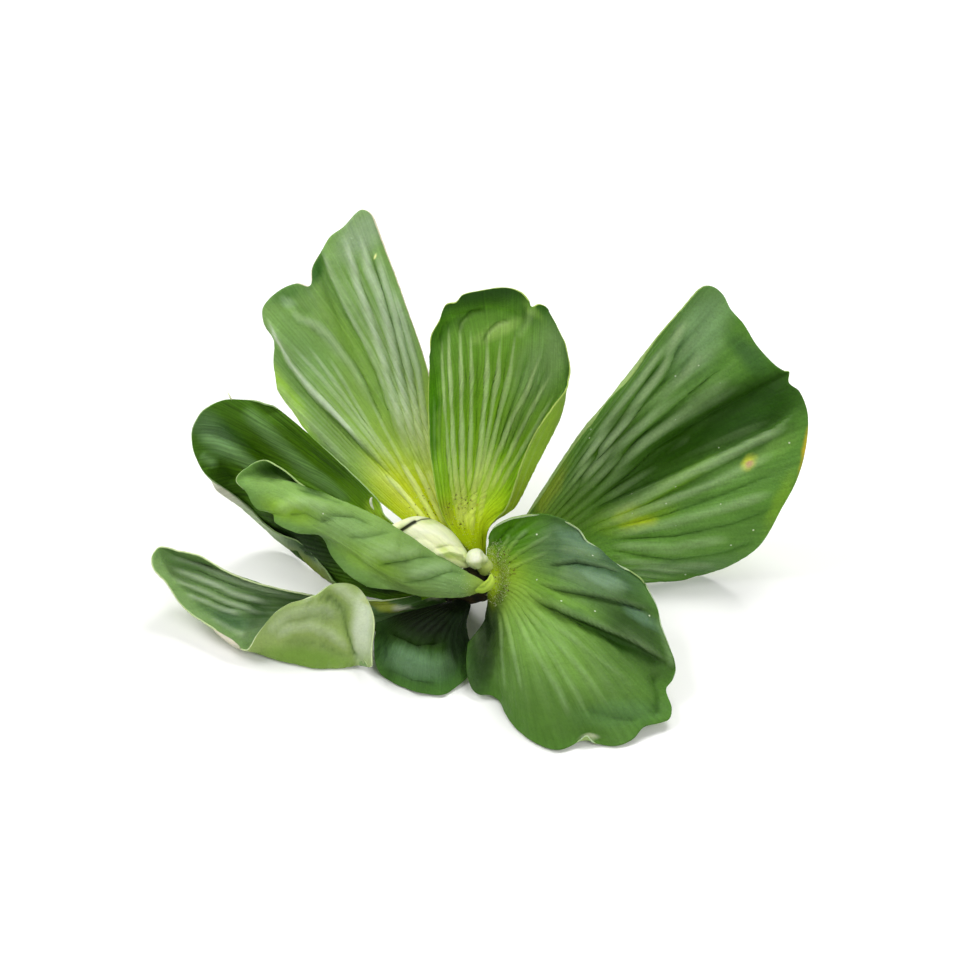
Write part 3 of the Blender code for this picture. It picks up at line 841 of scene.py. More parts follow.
# %% The broad leaf that bends towards the viewer, and the small dark one beside it
LEAVES["leaf_front_right"] = {
    "socket": (8, -58, 17),
    "turned": False,
    "rows": {
        0.0: [(2.0, 5.2, 24), (3.0, 1, 23.4), (3.0, -4, 21.8), (2.4, -9, 18)],
        0.22: [
            (2.4, 7.6, 25), (6, 8.5, 27), (11, 6, 27), (13.5, 1, 25), (13.5, -5, 23), (11, -10, 20),
            (7, -13, 18), (3.4, -13, 16.5), (1.9, -11.5, 16),
        ],
        0.5: [
            (2.6, 9.2, 27), (9, 12.6, 31), (19, 11, 31), (28, 3, 28.5), (32, -9, 25), (31, -20, 21.5),
            (22, -26, 19), (12, -26, 17), (4.5, -20, 14.5), (1.4, -14.5, 13.5),
        ],
        1.0: [
            (2.7, 10.4, 28.5), (3.6, 13, 31), (5.7, 14.8, 33), (9.6, 16.6, 35), (13.8, 17.6, 35.5),
            (18.9, 18.2, 35), (23.7, 17, 32.5), (27.3, 15.2, 30), (30.4, 12.6, 27.5), (32, 9.8, 26),
            (36, 7.4, 24.5), (39.6, 4, 23), (44.7, 0.6, 21), (48.9, -2.4, 19.5), (51.9, -6.6, 17),
            (53.8, -10.6, 15), (54.9, -16, 13), (57, -21.3, 11.5), (59.2, -28.5, 8.6), (58.2, -32.2, 7),
            (56.2, -35, 6), (57.8, -40.6, 4), (57, -44, 2.6), (53.8, -45.2, 2.2), (49, -46.4, 2.4),
            (45.9, -49.8, 1), (41, -51.8, 0.7), (35.6, -51.4, 0.9), (32.6, -49.6, 2), (28.4, -51.6, 0.9),
            (23, -53, 0.7), (16, -50.4, 0.7), (11, -46.6, 0.7), (7.6, -42, 0.7), (5.6, -38, 1),
            (3, -36.4, 1.3), (-0.4, -36.2, 1.6), (-2.4, -34.4, 2.4), (-3.8, -30, 5), (-4, -25.6, 7.4),
            (-3.6, -21, 9.5),
        ],
    },
    "lip_from": 0.955,
    "lip": {
        0: 0, 1: 0, 2: 0.5, 4: 0.9, 6: 0.8, 9: 0.55, 18: 0.6, 21: 0.4, 26: 0, 27: 0.4, 28: 1.3, 29: 0.3,
        30: 0, 40: 0,
    },
    "ribs": (26, 0.20, 0.05, 0.9, 0.10),
    "threads": 0.10,
    "frost_and_painted_sheen": 0.09,
    "steps": [
        ([(14, -6.4), (27, -12.2), (38, -17.2), (47, -21.4), (57, -27.4)], 1.6, 2.4, 0.9),
        ([(17, -3.4), (32, -6.2), (43, -8.8), (51, -11.4)], 1.2, 1.6, 0.7),
        ([(20, 2.2), (29, 3.6), (37, 1.8), (43, -0.4)], 1.2, 1.3, 0.6),
    ],
    "folds": [
        ([(16, -8.8), (27, -14.4), (38, -19.6), (48, -24)], 1.2, -1.6, -0.7),
        ([(22, 0.4), (33, -2), (45, -6.4)], 2.6, 1.6, 0.2),
        ([(23, 7.4), (31, 6.4), (37, 4)], 2.0, 1.2, 0.2),
        ([(30, -40), (40, -43.4), (48, -44.6)], 2.6, -1.8, -0.3),
        ([(51, -30), (53, -37), (52.6, -44)], 2.0, -2.6, -0.6),
        ([(54, -12), (57, -22), (58, -29)], 1.6, 1.4, 0.3),
        ([(8, -8), (15, -21), (24, -36), (27, -44)], 0.5, 0.4, 0.3),
        ([(7, -10), (10, -22), (13, -36)], 0.45, 0.4, 0.4),
        ([(10, -8), (22, -20), (33, -32), (40, -42)], 0.5, 0.4, 0.22),
        ([(13, -9), (28, -20), (44, -32)], 0.5, 0.4, 0.2),
        ([(9, -8), (18, -20), (29, -36), (34, -46)], 0.45, 0.3, 0.2),
        ([(6, -12), (7, -24), (8, -36)], 0.45, 0.3, 0.3),
        ([(6.6, 3), (9, 7.4), (11.4, 10.4), (14.6, 13.4)], 0.4, 0.6, 0.4),
        ([(7.4, 2.4), (12, 6.2), (17, 9), (22, 12)], 0.4, 0.5, 0.3),
        ([(6.2, 4), (7.4, 8), (9, 12)], 0.4, 0.4, 0.4),
        ([(8, 1), (14, 3.4), (21, 6.4)], 0.4, 0.4, 0.3),
        ([(5, 8), (7, 12), (10, 14.6)], 0.8, -0.6, -0.5),
        ([(-1, -33), (6, -38), (12, -44)], 1.6, 0.7, 0.0),
    ],
    "tones": [
        (0.0, "#8CA008"), (1.0, "#4C7628"), (0.12, "#7C9A1C"), (0.26, "#618728"), (0.6, "#5B8036"),
        (0.9, "#4F762C"),
    ],
    "ridge_and_highlight_tone": "#9CB882", "rib_base": "#98B84C", "groove_and_shade_tone": "#234A04", "margin": "#A9BE94",
    "patches": [
        # At (33, 3) and (47, -18) the upper half is darker by painted shade, the first with a grey sheen
        # painted in too.
        (33, 3, 30, 15, -35, "#3D5A39", 1.0), (47, -18, 23, 13, -52, "#304C1C", 1.0),
        # The thin deep patch at (36, -17.4) is painted shade in the crease.
        (10, 12, 16, 10, 40, "#447600", 1.0), (36, -17.4, 28, 3, -31, "#234C06", 0.7),
        # The deep patch at (-1, -29) is painted shade on the left side.
        (42, -42, 20, 6, 5, "#5A8248", 0.6), (-1, -29, 13, 7, 80, "#2E4E1C", 0.95),
        # The near black patch at (2.6, -15) is painted shadow by the stem, and the bright one at (22, -22)
        # painted light on the lower half, which faces the lamps.
        (2.6, -15, 26, 8.4, 82, "#0E2200", 1.0), (22, -22, 26, 11, -45, "#6E9640", 0.8),
        # The grey-blue patches at (30, 9), (37, -2) and (48, -13) are painted sheen on the ridges.
        (33, -49.5, 4, 1.3, 0, "#C4CEA8", 0.8), (30, 9, 11, 3.6, -30, "#68866C", 0.55),
        (37, -2, 11, 2.8, -20, "#708E74", 0.6), (48, -13, 10, 2.8, -30, "#64846A", 0.55),
        (3.8, -1, 3.4, 12, 5, "#94AE10", 0.95), (12, -8, 12, 7, -40, "#749434", 0.5),
    ],
    "specks": 0.09,
}
LEAVES["leaf_front"] = {
    "socket": (262, 226, 11),
    "turned": False,
    "rows": {
        0.5: [(-4, -15, 9), (-10, -20, 10), (-17, -20, 12), (-23, -17, 11.6), (-22, -12, 10)],
        1.0: [
            (-3, -21, 6), (-2.4, -27, 3), (-3, -30, 1.6), (-7, -34, 0.7), (-11, -36.4, 0.7),
            (-16, -36.2, 0.7), (-20, -35.2, 0.7), (-26, -32.8, 0.7), (-30, -30, 1.4), (-31.6, -24, 5),
            (-31, -15, 8),
        ],
    },
    "ribs": (12, 0.22, 0.1, 0.95, 0.05),
    "frost_and_painted_sheen": 0.0,
    "folds": [
        ([(-28, -22), (-20, -27), (-12, -28), (-7, -26)], 3.0, 2.0, 0.3),
        ([(-28, -18), (-19, -22), (-11, -21)], 1.8, -1.6, -0.6),
        ([(-29, -28), (-20, -32), (-12, -33)], 1.2, -0.9, -0.4),
        ([(-18, -20), (-15, -26), (-12, -33)], 1.0, 0.6, 0.1),
    ],
    # The tones are near black by the stem: painted shadow under the leaves above.
    "tones": [(0.0, "#0A1602"), (1.0, "#47702C"), (0.35, "#0E2000"), (0.6, "#264608"), (0.85, "#426A2C")],
    "ridge_and_highlight_tone": "#6C8C66", "groove_and_shade_tone": "#0C1C02", "margin": "#8CA86C",
    "patches": [
        # The black patches at (-14, -12) and (-6, -20) are painted shadow, and the grey-green patch at (-20,
        # -27) is painted sheen on the bulge.
        (-20, -27, 15, 6.4, -20, "#587A52", 0.9), (-14, -12, 32, 13, 0, "#060E00", 1.0),
        (-6, -20, 15, 7, 75, "#0C1E04", 0.95),
    ],
}

# %% The three leaves on the left
LEAVES["leaf_left_low"] = {
    "socket": (180, 224, 8),
    "turned": True,
    "rows": {
        0.35: [(-30, -8, 11), (-30, -9, 9), (-29, -11, 7), (-28, -12, 5), (-27, -15, 2)],
        0.62: [
            (-52, -6.4, 14), (-60, -6, 10), (-60, -10, 6), (-56, -15, 3), (-50, -20, 2),
            (-43, -22, 2), (-36, -21, 2),
        ],
        0.86: [
            (-68, -2.4, 16), (-78, 1, 12), (-83, 2.6, 12), (-87, 3.4, 12.5), (-88.4, 1.8, 12),
            (-87.6, -1.2, 10.5), (-85, -4.2, 9), (-81, -9.2, 6), (-76, -14, 4), (-71, -18.6, 2.6),
            (-66.4, -22.8, 1.4), (-64, -24.4, 1), (-61, -25.6, 1), (-58, -26.4, 1), (-55, -27, 1),
            (-52, -27.6, 1), (-49, -28, 1), (-46.4, -28, 1), (-44.4, -28, 1), (-42, -28, 1),
            (-40, -27.8, 1), (-38, -27.6, 1.2), (-36.4, -27.6, 1.8), (-34.8, -27.7, 3.4),
            (-33.4, -27.8, 6),
        ],
        1.0: [
            (-72, -1, 17), (-84, 5, 19), (-90, 6.6, 20), (-96, 8, 20), (-98.6, 5, 19), (-98, 1, 17.5),
            (-94, -2.6, 15), (-89.4, -9.4, 10), (-82, -15.6, 7.6), (-76, -20, 5.6), (-70.4, -22.6, 5),
            (-67, -18.6, 9), (-64, -14.6, 13), (-61, -11.4, 16), (-57, -9, 18), (-52, -7.6, 19),
            (-48, -6, 20), (-44.6, -3.4, 21), (-41.6, -2.8, 21), (-38, -3.4, 20.6), (-35, -6, 19.6),
            (-32.6, -10.6, 17.5), (-31.8, -16, 15), (-32.4, -22, 11), (-32.4, -27.6, 8),
        ],
    },
    "lip_from": 0.95,
    "lip": {0: 0, 7: 0, 8: 0.7, 9: 1.7, 10: 0.5, 11: 0, 24: 0},
    "ribs": (24, 0.18, 0.2, 1.0, 0.14),
    "threads": 0.06,
    "frost_and_painted_sheen": 0.16,
    "folds": [
        ([(-95, 5.6), (-84, 2.4), (-71, -2.6), (-56, -6.8), (-46, -8)], 0.7, 1.0, 0.6),
        ([(-94, 3.8), (-84, 0.6), (-72, -4.4), (-58, -8.2)], 0.8, -1.1, -0.4),
        ([(-94, 2), (-84, -1.4), (-74, -6), (-62, -9.6)], 0.6, 1.0, 0.65),
        ([(-93, 0.4), (-84, -3.4), (-74, -7.8), (-64, -11)], 0.7, -0.9, -0.35),
        ([(-93, -1.2), (-84, -5.2), (-74, -9.4), (-65, -12.2)], 0.6, 0.9, 0.55),
        ([(-91, -3.4), (-82, -7.6), (-73, -11.2)], 0.8, -0.8, -0.5),
        ([(-89, -5.6), (-80, -9.8), (-71, -12.8)], 0.7, 0.8, 0.6),
        ([(-86, -8.6), (-77, -13.4), (-70, -16)], 1.6, -1.6, -0.7),
        ([(-82, -12.4), (-75, -16.6), (-69.6, -19)], 0.9, 0.8, 0.4),
        ([(-50, -7.6), (-44.6, -7), (-41, -11), (-39.8, -17.6), (-37.6, -23.7), (-34, -27)], 0.9, -2.4, -0.8),
        ([(-46, -5), (-41.6, -4.6), (-37, -8.6), (-35.4, -14.4), (-35, -20), (-34, -25)], 2.0, 1.0, 0.6),
        ([(-62, -19), (-57, -16.4), (-51, -15.8), (-45, -18), (-38, -24)], 1.5, 1.4, 0.45),
        ([(-58, -13.4), (-51, -10.6), (-46, -10.4), (-43, -13)], 1.2, 0.8, 0.3),
        ([(-60, -20), (-52, -20.4), (-45, -22.4), (-38, -26)], 1.2, -1.2, -0.6),
        ([(-64, -18), (-58, -12.6), (-50, -9.4)], 1.4, 0.7, 0.3),
    ],
    "tones": [(0.0, "#2A4A0C"), (1.0, "#789858"), (0.4, "#4E7434"), (0.75, "#74945A")],
    "ridge_and_highlight_tone": "#B8C8AA", "groove_and_shade_tone": "#4A7040", "margin": "#C0D09C",
    "patches": [
        (-74, -14, 10, 4, -20, "#54784C", 0.85), (-90, 4, 14, 4, -20, "#6C9450", 0.6),
        (-62, -4.6, 16, 2.0, -16, "#6C9050", 0.5), (-67, -12, 8, 6, 60, "#345828", 0.7),
        (-29, -9.4, 9, 2.0, -14, "#98A81C", 1.0), (-23, -10.2, 5, 1.3, 0, "#D8DCC0", 0.9),
        (-14, -6.8, 4, 1.6, 0, "#B4B898", 0.85),
    ],
    "under_tones": [(0.0, "#889E4C"), (1.0, "#90A65E"), (0.5, "#869F55")],
    "under_rib_tone": "#C6D2B4", "under_threads": 0.02,
    "under_patches": [
        (-52, -25.6, 24, 5, -5, "#72943C", 0.95), (-34.6, -16, 16, 5, 88, "#C0CCAE", 1.0),
        (-60, -14, 10, 6, 40, "#8CA068", 0.7), (-78, -18, 16, 4.0, -38, "#CFC8B4", 1.0),
        (-48, -12, 10, 5, 10, "#8EA26E", 0.7), (-29, -9.4, 9, 2.0, -14, "#98A81C", 1.0),
    ],
}
LEAVES["leaf_left"] = {
    "socket": (142, 190, 12),
    "turned": True,
    "rows": {
        0.3: [(-27.6, 16.4, 27), (-28, 13.6, 20.6), (-29, 8.6, 15), (-27, -0.6, 10), (-21, -9, 7)],
        0.45: [(-31, 22.6, 32), (-36, 20, 23), (-40, 15, 17), (-37, 5, 10), (-29, -8, 5)],
        0.6: [(-41, 32.6, 39), (-49, 30, 30), (-54, 24, 24), (-50, 12, 13), (-38, -6, 3.4)],
        0.9: [
            (-59, 48.2, 47), (-69, 48.2, 47.4), (-77, 45, 43), (-78, 38, 36), (-76, 31, 29), (-72, 25, 23),
            (-66, 18, 15), (-59, 11, 6), (-50, 3, 2), (-42, -4, 1.6),
        ],
        1.0: [
            (-63.6, 50.4, 50), (-69, 51.8, 50.6), (-73, 52.2, 51), (-77, 52, 51), (-81, 50.2, 50),
            (-84.4, 47.4, 47.6), (-86.4, 43.4, 43.4), (-86.4, 39, 39), (-85.4, 35, 35), (-83, 30, 30),
            (-78.6, 25, 24), (-72, 20, 16), (-65, 14, 7), (-57, 7, 1.4), (-50, 1.4, 1), (-44.4, -3, 1),
            (-39, -6.4, 1),
        ],
    },
    "lip_from": 0.94,
    "lip": {0: 0, 8: 0.1, 9: 0.4, 10: 2.0, 12: 3.0, 13: 5.0, 14: 7.4, 16: 8.0},
    "ribs": (34, 0.24, 0.1, 0.98, 0.10),
    "threads": 0.36,
    "frost_and_painted_sheen": 0.0,
    "folds": [
        ([(-72, 50), (-64, 42.6), (-53, 32.4), (-39, 22)], 2.2, 2.0, 0.5),
        ([(-80, 46), (-69, 38), (-57, 28.2)], 2.4, -2.6, -0.7),
        ([(-84.6, 42), (-74.1, 37.0), (-65, 30.6)], 2.1, 2.0, 0.6),
        ([(-80, 33), (-73, 28)], 2.6, -2.4, -0.6),
        ([(-62, 47), (-50, 37), (-38, 27)], 2.0, -1.2, -0.5),
        ([(-58, 36), (-48, 29), (-38, 21)], 1.4, 0.8, 0.5),
        ([(-84, 36), (-78, 31.6)], 1.4, 1.0, 0.6),
    ],
    "tones": [(0.0, "#74A000"), (1.0, "#446C18"), (0.2, "#669400"), (0.45, "#507C00"), (0.8, "#3C6002")],
    "ridge_and_highlight_tone": "#7EA468", "rib_base": "#84AC2C", "groove_and_shade_tone": "#224A00", "margin": "#8FAA70",
    "patches": [
        # The grey-green patch at (-80, 42) is painted sheen at the tip.
        (-80, 42, 14, 7, -40, "#64845A", 0.65), (-34, 20, 16, 6, -40, "#66960A", 0.85),
        # Both near black patches on this line are painted shadow: by the stem, over the base's own dark
        # green, and under the inner leaf's margin.
        (-26, -3, 16, 7, 0, "#142A02", 0.97), (-52, 9.4, 22, 8, -35, "#142C02", 1.0),
        (-30, 18, 8, 4, -60, "#A8D030", 1.0),
    ],
    "under_patches": [
        (-77, 26.5, 16, 6, -45, "#DEDDCC", 1.0), (-67, 17.4, 12, 5, -42, "#A4B690", 0.9),
        # The deep patch at (-52, 7.4) is painted shadow under the inner leaf's margin.
        (-52, 7.4, 9, 3.6, -35, "#20401C", 0.95), (-50, 2, 14, 2.4, -36, "#68781C", 0.9),
        # The near black patch at (-26, -3) is painted shadow by the stem.
        (-26, -3, 18, 7, 0, "#142A02", 0.97),
    ],
    "under_tones": [(0.0, "#566C28"), (1.0, "#8A9E78")],
}
LEAVES["leaf_left_inner"] = {
    "socket": (160, 212, 19),
    "turned": True,
    "rows": {
        0.0: [(-0.2, -2.4, 24), (1, -3.8, 24), (-0.4, -5.8, 22.4)],
        0.12: [(-6.6, 2.0, 24.6), (-6.6, 0.2, 25.6), (-6, -2.5, 24.8), (-5.6, -5, 22.4), (-5, -7, 20)],
        0.28: [(-14.6, 7.2, 26.4), (-15.6, 6.2, 28), (-15, 1.5, 26.6), (-13, -3.6, 22), (-12, -7.2, 18)],
        0.5: [(-27, 13, 30), (-30, 15.6, 34), (-31, 9, 32), (-27, 0, 24), (-19, -6.6, 16.6)],
        0.75: [
            (-38, 18, 32), (-44, 22.5, 37), (-49, 24, 38.5), (-52, 25, 39), (-57, 26.5, 40),
            (-62, 27, 40.5), (-60, 24, 39.5), (-56, 20, 37), (-53, 17, 35), (-50.6, 15, 33.6),
            (-47, 12.4, 32), (-42, 9, 29.5), (-38, 5, 26), (-33, 0, 22), (-26, -5, 17),
        ],
        0.89: [
            (-44, 21, 33), (-51, 25, 34), (-55, 26.8, 35), (-60, 28.6, 36), (-65, 28.8, 38),
            (-70, 28.2, 40.6), (-66, 24, 39.5), (-62, 19.5, 36.5), (-58.4, 17.4, 34.5),
            (-56.6, 15.6, 33.6), (-52, 13.4, 32), (-45.5, 10.5, 29), (-41.5, 5, 25), (-37, 0, 22.2),
            (-31, -4.5, 18.3),
        ],
        1.0: [
            (-49, 23, 34), (-55, 28, 38), (-60, 32, 41), (-64.6, 34, 42), (-69, 32.4, 42),
            (-73, 28.4, 42), (-70, 24, 39), (-66.8, 19.4, 35), (-62.2, 17.8, 33.8), (-61.4, 15.2, 33),
            (-55.6, 12.4, 31), (-48, 11.4, 28), (-44.4, 5, 24), (-40, 0, 22), (-34, -4, 19),
        ],
    },
    "ribs": (16, 0.08, 0.1, 0.9, 0.08),
    "threads": 0.03,
    "frost_and_painted_sheen": 0.08,
    "folds": [
        ([(-31, 2.4), (-27, 3.4), (-23.7, 3.8), (-18.6, 4.6), (-12.5, 4.2)], 1.1, -1.6, -0.9),
        ([(-24, -3), (-16.2, -1.6), (-11, 0), (-8, 0), (-4, -0.8)], 1.0, -1.8, -0.9),
        ([(-31, 4.6), (-24, 5.6), (-17, 6.2)], 1.6, 0.9, 0.3),
        ([(-22, -1), (-14, 1.4), (-8, 2.2)], 1.4, 0.8, 0.3),
        ([(-62, 18.6), (-56, 21), (-51, 21.5), (-44, 18.6)], 1.8, 1.4, 0.3),
        ([(-58, 18), (-52, 18), (-47, 15)], 1.2, -1.2, -0.5),
        ([(-49, 15), (-44, 17), (-38, 16.4), (-32, 13.6)], 1.3, -1.4, -0.6),
        ([(-36, 4), (-30, 6.4), (-24, 8)], 2.4, 1.0, 0.2),
        ([(-40, 11), (-34, 10.6), (-26, 12)], 1.3, -1.0, -0.5),
        ([(-55, 24.6), (-48, 22.6), (-40, 20)], 1.0, -0.9, -0.5),
    ],
    "tones": [(0.0, "#8EA83C"), (1.0, "#648A42"), (0.12, "#769854"), (0.5, "#7C9E50"), (0.8, "#769A4C")],
    "ridge_and_highlight_tone": "#A8C092", "groove_and_shade_tone": "#3E6624", "margin": "#A4BE7C",
    "patches": [
        (-57, 18.6, 13, 4.4, -15, "#84AC30", 0.85), (-32, 3, 15, 5, -25, "#80A834", 0.8),
        # The two deep patches at (-61.6, 30.8) and (-52, 26.4) are painted shade in the hollow near the tip.
        (-61.6, 30.8, 11, 4.0, 5, "#284A06", 1.0), (-52, 26.4, 10, 3, -25, "#2A4C08", 1.0),
        (-40, 14, 14, 5, -20, "#7C9C60", 0.6), (-14, 0, 12, 5, -20, "#789A5E", 0.6),
    ],
    "specks": 0.06,
}

# %% Grow the leaves and let each stand for its CAD leaf
UNDER_TONES = [(0.0, "#8CA040"), (1.0, "#8FA866"), (0.5, "#8AA45C")]
UNDER_RIDGE_AND_HIGHLIGHT_TONE = "#C4D2B0"
UNDER_GROOVE_AND_SHADE_TONE = "#6C8C44"
for name, plan in LEAVES.items():
    upper = leaf_tissue(
        name + "_upper_skin", plan["tones"], plan["ridge_and_highlight_tone"], plan["groove_and_shade_tone"], plan["patches"],
        rib_base=plan.get("rib_base"), threads=plan.get("threads", 0.10), frost_and_painted_sheen=plan["frost_and_painted_sheen"],
        specks=plan.get("specks", 0.0), grain=plan.get("grain", 0.05),
    )
    under = leaf_tissue(
        name + "_under_skin", plan.get("under_tones", UNDER_TONES),
        plan.get("under_rib_tone", UNDER_RIDGE_AND_HIGHLIGHT_TONE), UNDER_GROOVE_AND_SHADE_TONE, plan.get("under_patches", []),
        threads=plan.get("under_threads", 0.10), roughness=0.6, sheen=0.06,
    )
    rim_tone = plan["margin"]
    rim = leaf_tissue(name + "_margin", [(0.0, rim_tone), (1.0, rim_tone)], rim_tone, rim_tone, [])
    blade = grow_leaf(name + "_blade", plan, [upper, under, rim])
    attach(blade, "root")
    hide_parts(name)
    print(blade.name, len(blade.data.polygons), "faces before it gets its thickness")

# %% [markdown]
# ## The heart
# A rolled young leaf and a bud sit in the middle, pale because they have had no light yet.
# Each is a closed body that swells and narrows along a line, so a sphere is drawn out along
# that line, and the young leaf's split is pressed in as a groove and darkened with painted
# shade. The short stem under them is a drum whose rings follow the stem's lean.


# %% A body that swells and narrows along a line
LOOK_AHEAD = 0.05      # of the line, to either side, gives the way it runs
VEIN_SPREAD = 0.3      # of the veins map to one turn round such a body


def drawn_out(points, radii, sides, rings, folds=()):
    """A sphere drawn out along a line in the picture, with grooves and ridges pressed in."""
    line = [seen(*point) for point in points]
    places = marks(line)
    shape = bmesh.new()
    bmesh.ops.create_uvsphere(shape, u_segments=sides, v_segments=rings, radius=1.0)
    picture_map = shape.loops.layers.uv.new("picture")
    veins_map = shape.loops.layers.uv.new("veins")
    ridge_and_painted_light = shape.verts.layers.float.new("rib")
    where = {}
    for corner in shape.verts:
        place = (corner.co.z + 1) / 2
        round_at = math.atan2(corner.co.y, corner.co.x) / math.tau
        middle = smooth(line, places, place)
        before = smooth(line, places, max(place - LOOK_AHEAD, 0.0))
        after = smooth(line, places, min(place + LOOK_AHEAD, 1.0))
        turned = Vector((0.0, 0.0, 1.0)).rotation_difference((after - before).normalized())
        radius = smooth(radii, places, place)
        corner.co = middle + turned @ Vector((corner.co.x * radius, corner.co.y * radius, 0.0))
        at = shown(corner.co)
        if (corner.co - middle).dot(EYE - corner.co) > 0:
            # Folds tint it too: painted highlight on ridges and painted shade in grooves.
            lift, corner[ridge_and_painted_light] = all_folds_here(folds, (), at)
            corner.co += (EYE - corner.co).normalized() * lift
        where[corner] = (round_at, place, at)
    for face in shape.faces:
        for loop in face.loops:
            round_at, place, at = where[loop.vert]
            loop[veins_map].uv = (abs(round_at) * VEIN_SPREAD, place)
            loop[picture_map].uv = (at.x / MAP_UNIT, at.y / MAP_UNIT)
    bmesh.ops.recalc_face_normals(shape, faces=shape.faces)
    return shape


def matt_skin(name, pale, deep, clouds_per_metre, roughness):
    """Dull plant tissue: two tones in soft clouds, and a fine grain."""
    skin = bpy.data.materials.new(name)
    skin.use_nodes = True
    tree = skin.node_tree
    shader = tree.nodes["Principled BSDF"]
    place = add(tree, "ShaderNodeTexCoord", {}).outputs["Object"]
    clouds = add(
        tree, "ShaderNodeTexNoise", {"Vector": place, "Scale": clouds_per_metre, "Detail": 3.0},
    )
    share = add(
        tree, "ShaderNodeMapRange",
        {"Value": clouds.outputs["Fac"], "From Min": 0.38, "From Max": 0.66},
    )
    colour = add(
        tree, "ShaderNodeMix", {0: share.outputs["Result"], 6: linear(pale), 7: linear(deep)},
        data_type="RGBA",
    )
    tree.links.new(colour.outputs[2], shader.inputs["Base Color"])
    grain = add(tree, "ShaderNodeTexNoise", {"Vector": place, "Scale": 1400.0, "Detail": 2.0})
    bump = add(
        tree, "ShaderNodeBump",
        {"Height": grain.outputs["Fac"], "Strength": 0.5, "Distance": 0.0002},
    )
    tree.links.new(bump.outputs["Normal"], shader.inputs["Normal"])
    shader.inputs["Roughness"].default_value = roughness
    shader.inputs["Specular IOR Level"].default_value = 0.3
    return skin


# %% The rolled young leaf, with its split
# Young tissue is nearly white under a thin wax, with lime where it thickens.
cream = leaf_tissue(
    # Its near-black deep tone is painted shade in the split.
    "young_leaf_wax", [(0.0, "#F0F5C4"), (1.0, "#E0EAA4"), (0.4, "#F5F8D0")], "#FBFCE8", "#0C0F04",
    [
        (-9, 5.4, 5, 1.8, -30, "#C4DA68", 0.9), (-15, 15.6, 7, 1.6, -10, "#DDE99A", 0.8),
        (-23, 14, 5, 2.0, 30, "#D2E096", 0.8), (-5, 4, 3, 2.4, 20, "#C8D880", 0.8),
    ],
    threads=0.06, roughness=0.42, clouding=0.03, grain=0.01,
)
YOUNG_LEAF_LINE = [
    (-31, 11, 25.6), (-25.2, 12.4, 26.8), (-19.4, 12.0, 27.4), (-12.8, 8.8, 26.6),
    (-7, 5.0, 25.4), (-2.8, 2.4, 24),
]
YOUNG_LEAF_RADII = [2.2, 3.4, 5.5, 5.9, 5.1, 4.4]
YOUNG_LEAF_FOLDS = [
    # The split, wide where it opens and then thin; its tint is painted shade.
    ([(-25.4, 11.6), (-22.8, 13.4), (-20.4, 15.0), (-18.8, 15.8)], 0.5, -1.2, -3.0),
    ([(-20, 15.2), (-17.4, 16.2), (-13, 16.6)], 0.25, -0.6, -1.4),
    # Its soft folds, and the lip beside the bud.
    ([(-24, 11), (-16, 10), (-9, 6), (-4, 2)], 1.2, -0.5, 0.0),
    ([(-22, 14), (-12, 12), (-5, 6)], 1.0, 0.4, 0.4),
    ([(-14, 5.4), (-9.4, 6.6), (-5, 5.8), (-3.4, 3.4)], 0.9, 1.5, 0.2),
    ([(-14, 7.4), (-9.4, 8.4), (-4.8, 7.6)], 0.5, -0.6, -0.35),
]
young = finish_piece(
    "young_leaf_roll", drawn_out(YOUNG_LEAF_LINE, YOUNG_LEAF_RADII, 160, 200, YOUNG_LEAF_FOLDS), [cream],
)
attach(young, "root")
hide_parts("young_leaf")

# %% The bud
downy = leaf_tissue(
    "bud_down", [(0.0, "#C4D090"), (1.0, "#E4EBC4"), (0.5, "#DCE5B4")], "#F8FAE8", "#6C7C2C",
    # The whitest patch, at the upper left, is a painted highlight; the green one at the lower right is the
    # bud's own colour.
    [(-1.8, 4.8, 3.0, 2.4, 60, "#F0F4DA", 0.9), (2.0, 2.2, 3.4, 2.6, -60, "#A8BA5C", 0.9)],
    threads=0.02, roughness=0.5, sheen=0.10, clouding=0.03, grain=0.02,
)
BUD_LINE = [(-0.6, 1.2, 24.6), (-0.9, 3.2, 26), (-0.9, 5.6, 28), (-0.4, 7.4, 29.4)]
BUD_RADII = [2.6, 3.3, 3.2, 2.4]
BUD_GROOVE = ([(0.6, 7), (1.0, 4.4), (0.4, 1.6)], 0.5, -0.5, -0.5)
bud = finish_piece("bud_downy", drawn_out(BUD_LINE, BUD_RADII, 48, 40, [BUD_GROOVE]), [downy])
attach(bud, "root")
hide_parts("bud")

# %% The side bud
green_down = leaf_tissue(
    "side_bud_down", [(0.0, "#8CA03C"), (1.0, "#C8D48C"), (0.5, "#B0C068")], "#E4ECC0", "#6C7C2C", [],
    threads=0.05, roughness=0.55, sheen=0.10, clouding=0.08, grain=0.08,
)
SIDE_BUD_LINE = [(0.8, -0.6, 22), (1.5, 1.6, 23.4), (2.0, 4.4, 25)]
SIDE_BUD_RADII = [2.2, 2.9, 2.0]
side_bud = finish_piece("side_bud", drawn_out(SIDE_BUD_LINE, SIDE_BUD_RADII, 48, 40), [green_down])
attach(side_bud, "root")

# %% The curled tip of the inner left leaf
lime = leaf_tissue(
    "young_margin_lime", [(0.0, "#84A434"), (1.0, "#C4DC54")], "#DCEA90", "#5C7A20", [], threads=0.05,
)
TIP_LINE = [(-1.6, -5.4, 24.4), (0.8, -4.6, 25.2), (3.0, -2.8, 26), (3.4, -0.2, 26.8)]
TIP_RADII = [1.0, 1.5, 1.4, 0.9]
TIP_GROOVE = ([(-1, -4.7), (1.4, -4), (3, -2), (3.4, 0)], 0.5, -0.6, -0.6)
tip_curl = finish_piece("inner_leaf_tip_curl", drawn_out(TIP_LINE, TIP_RADII, 48, 60, [TIP_GROOVE]), [lime])
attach(tip_curl, "root")

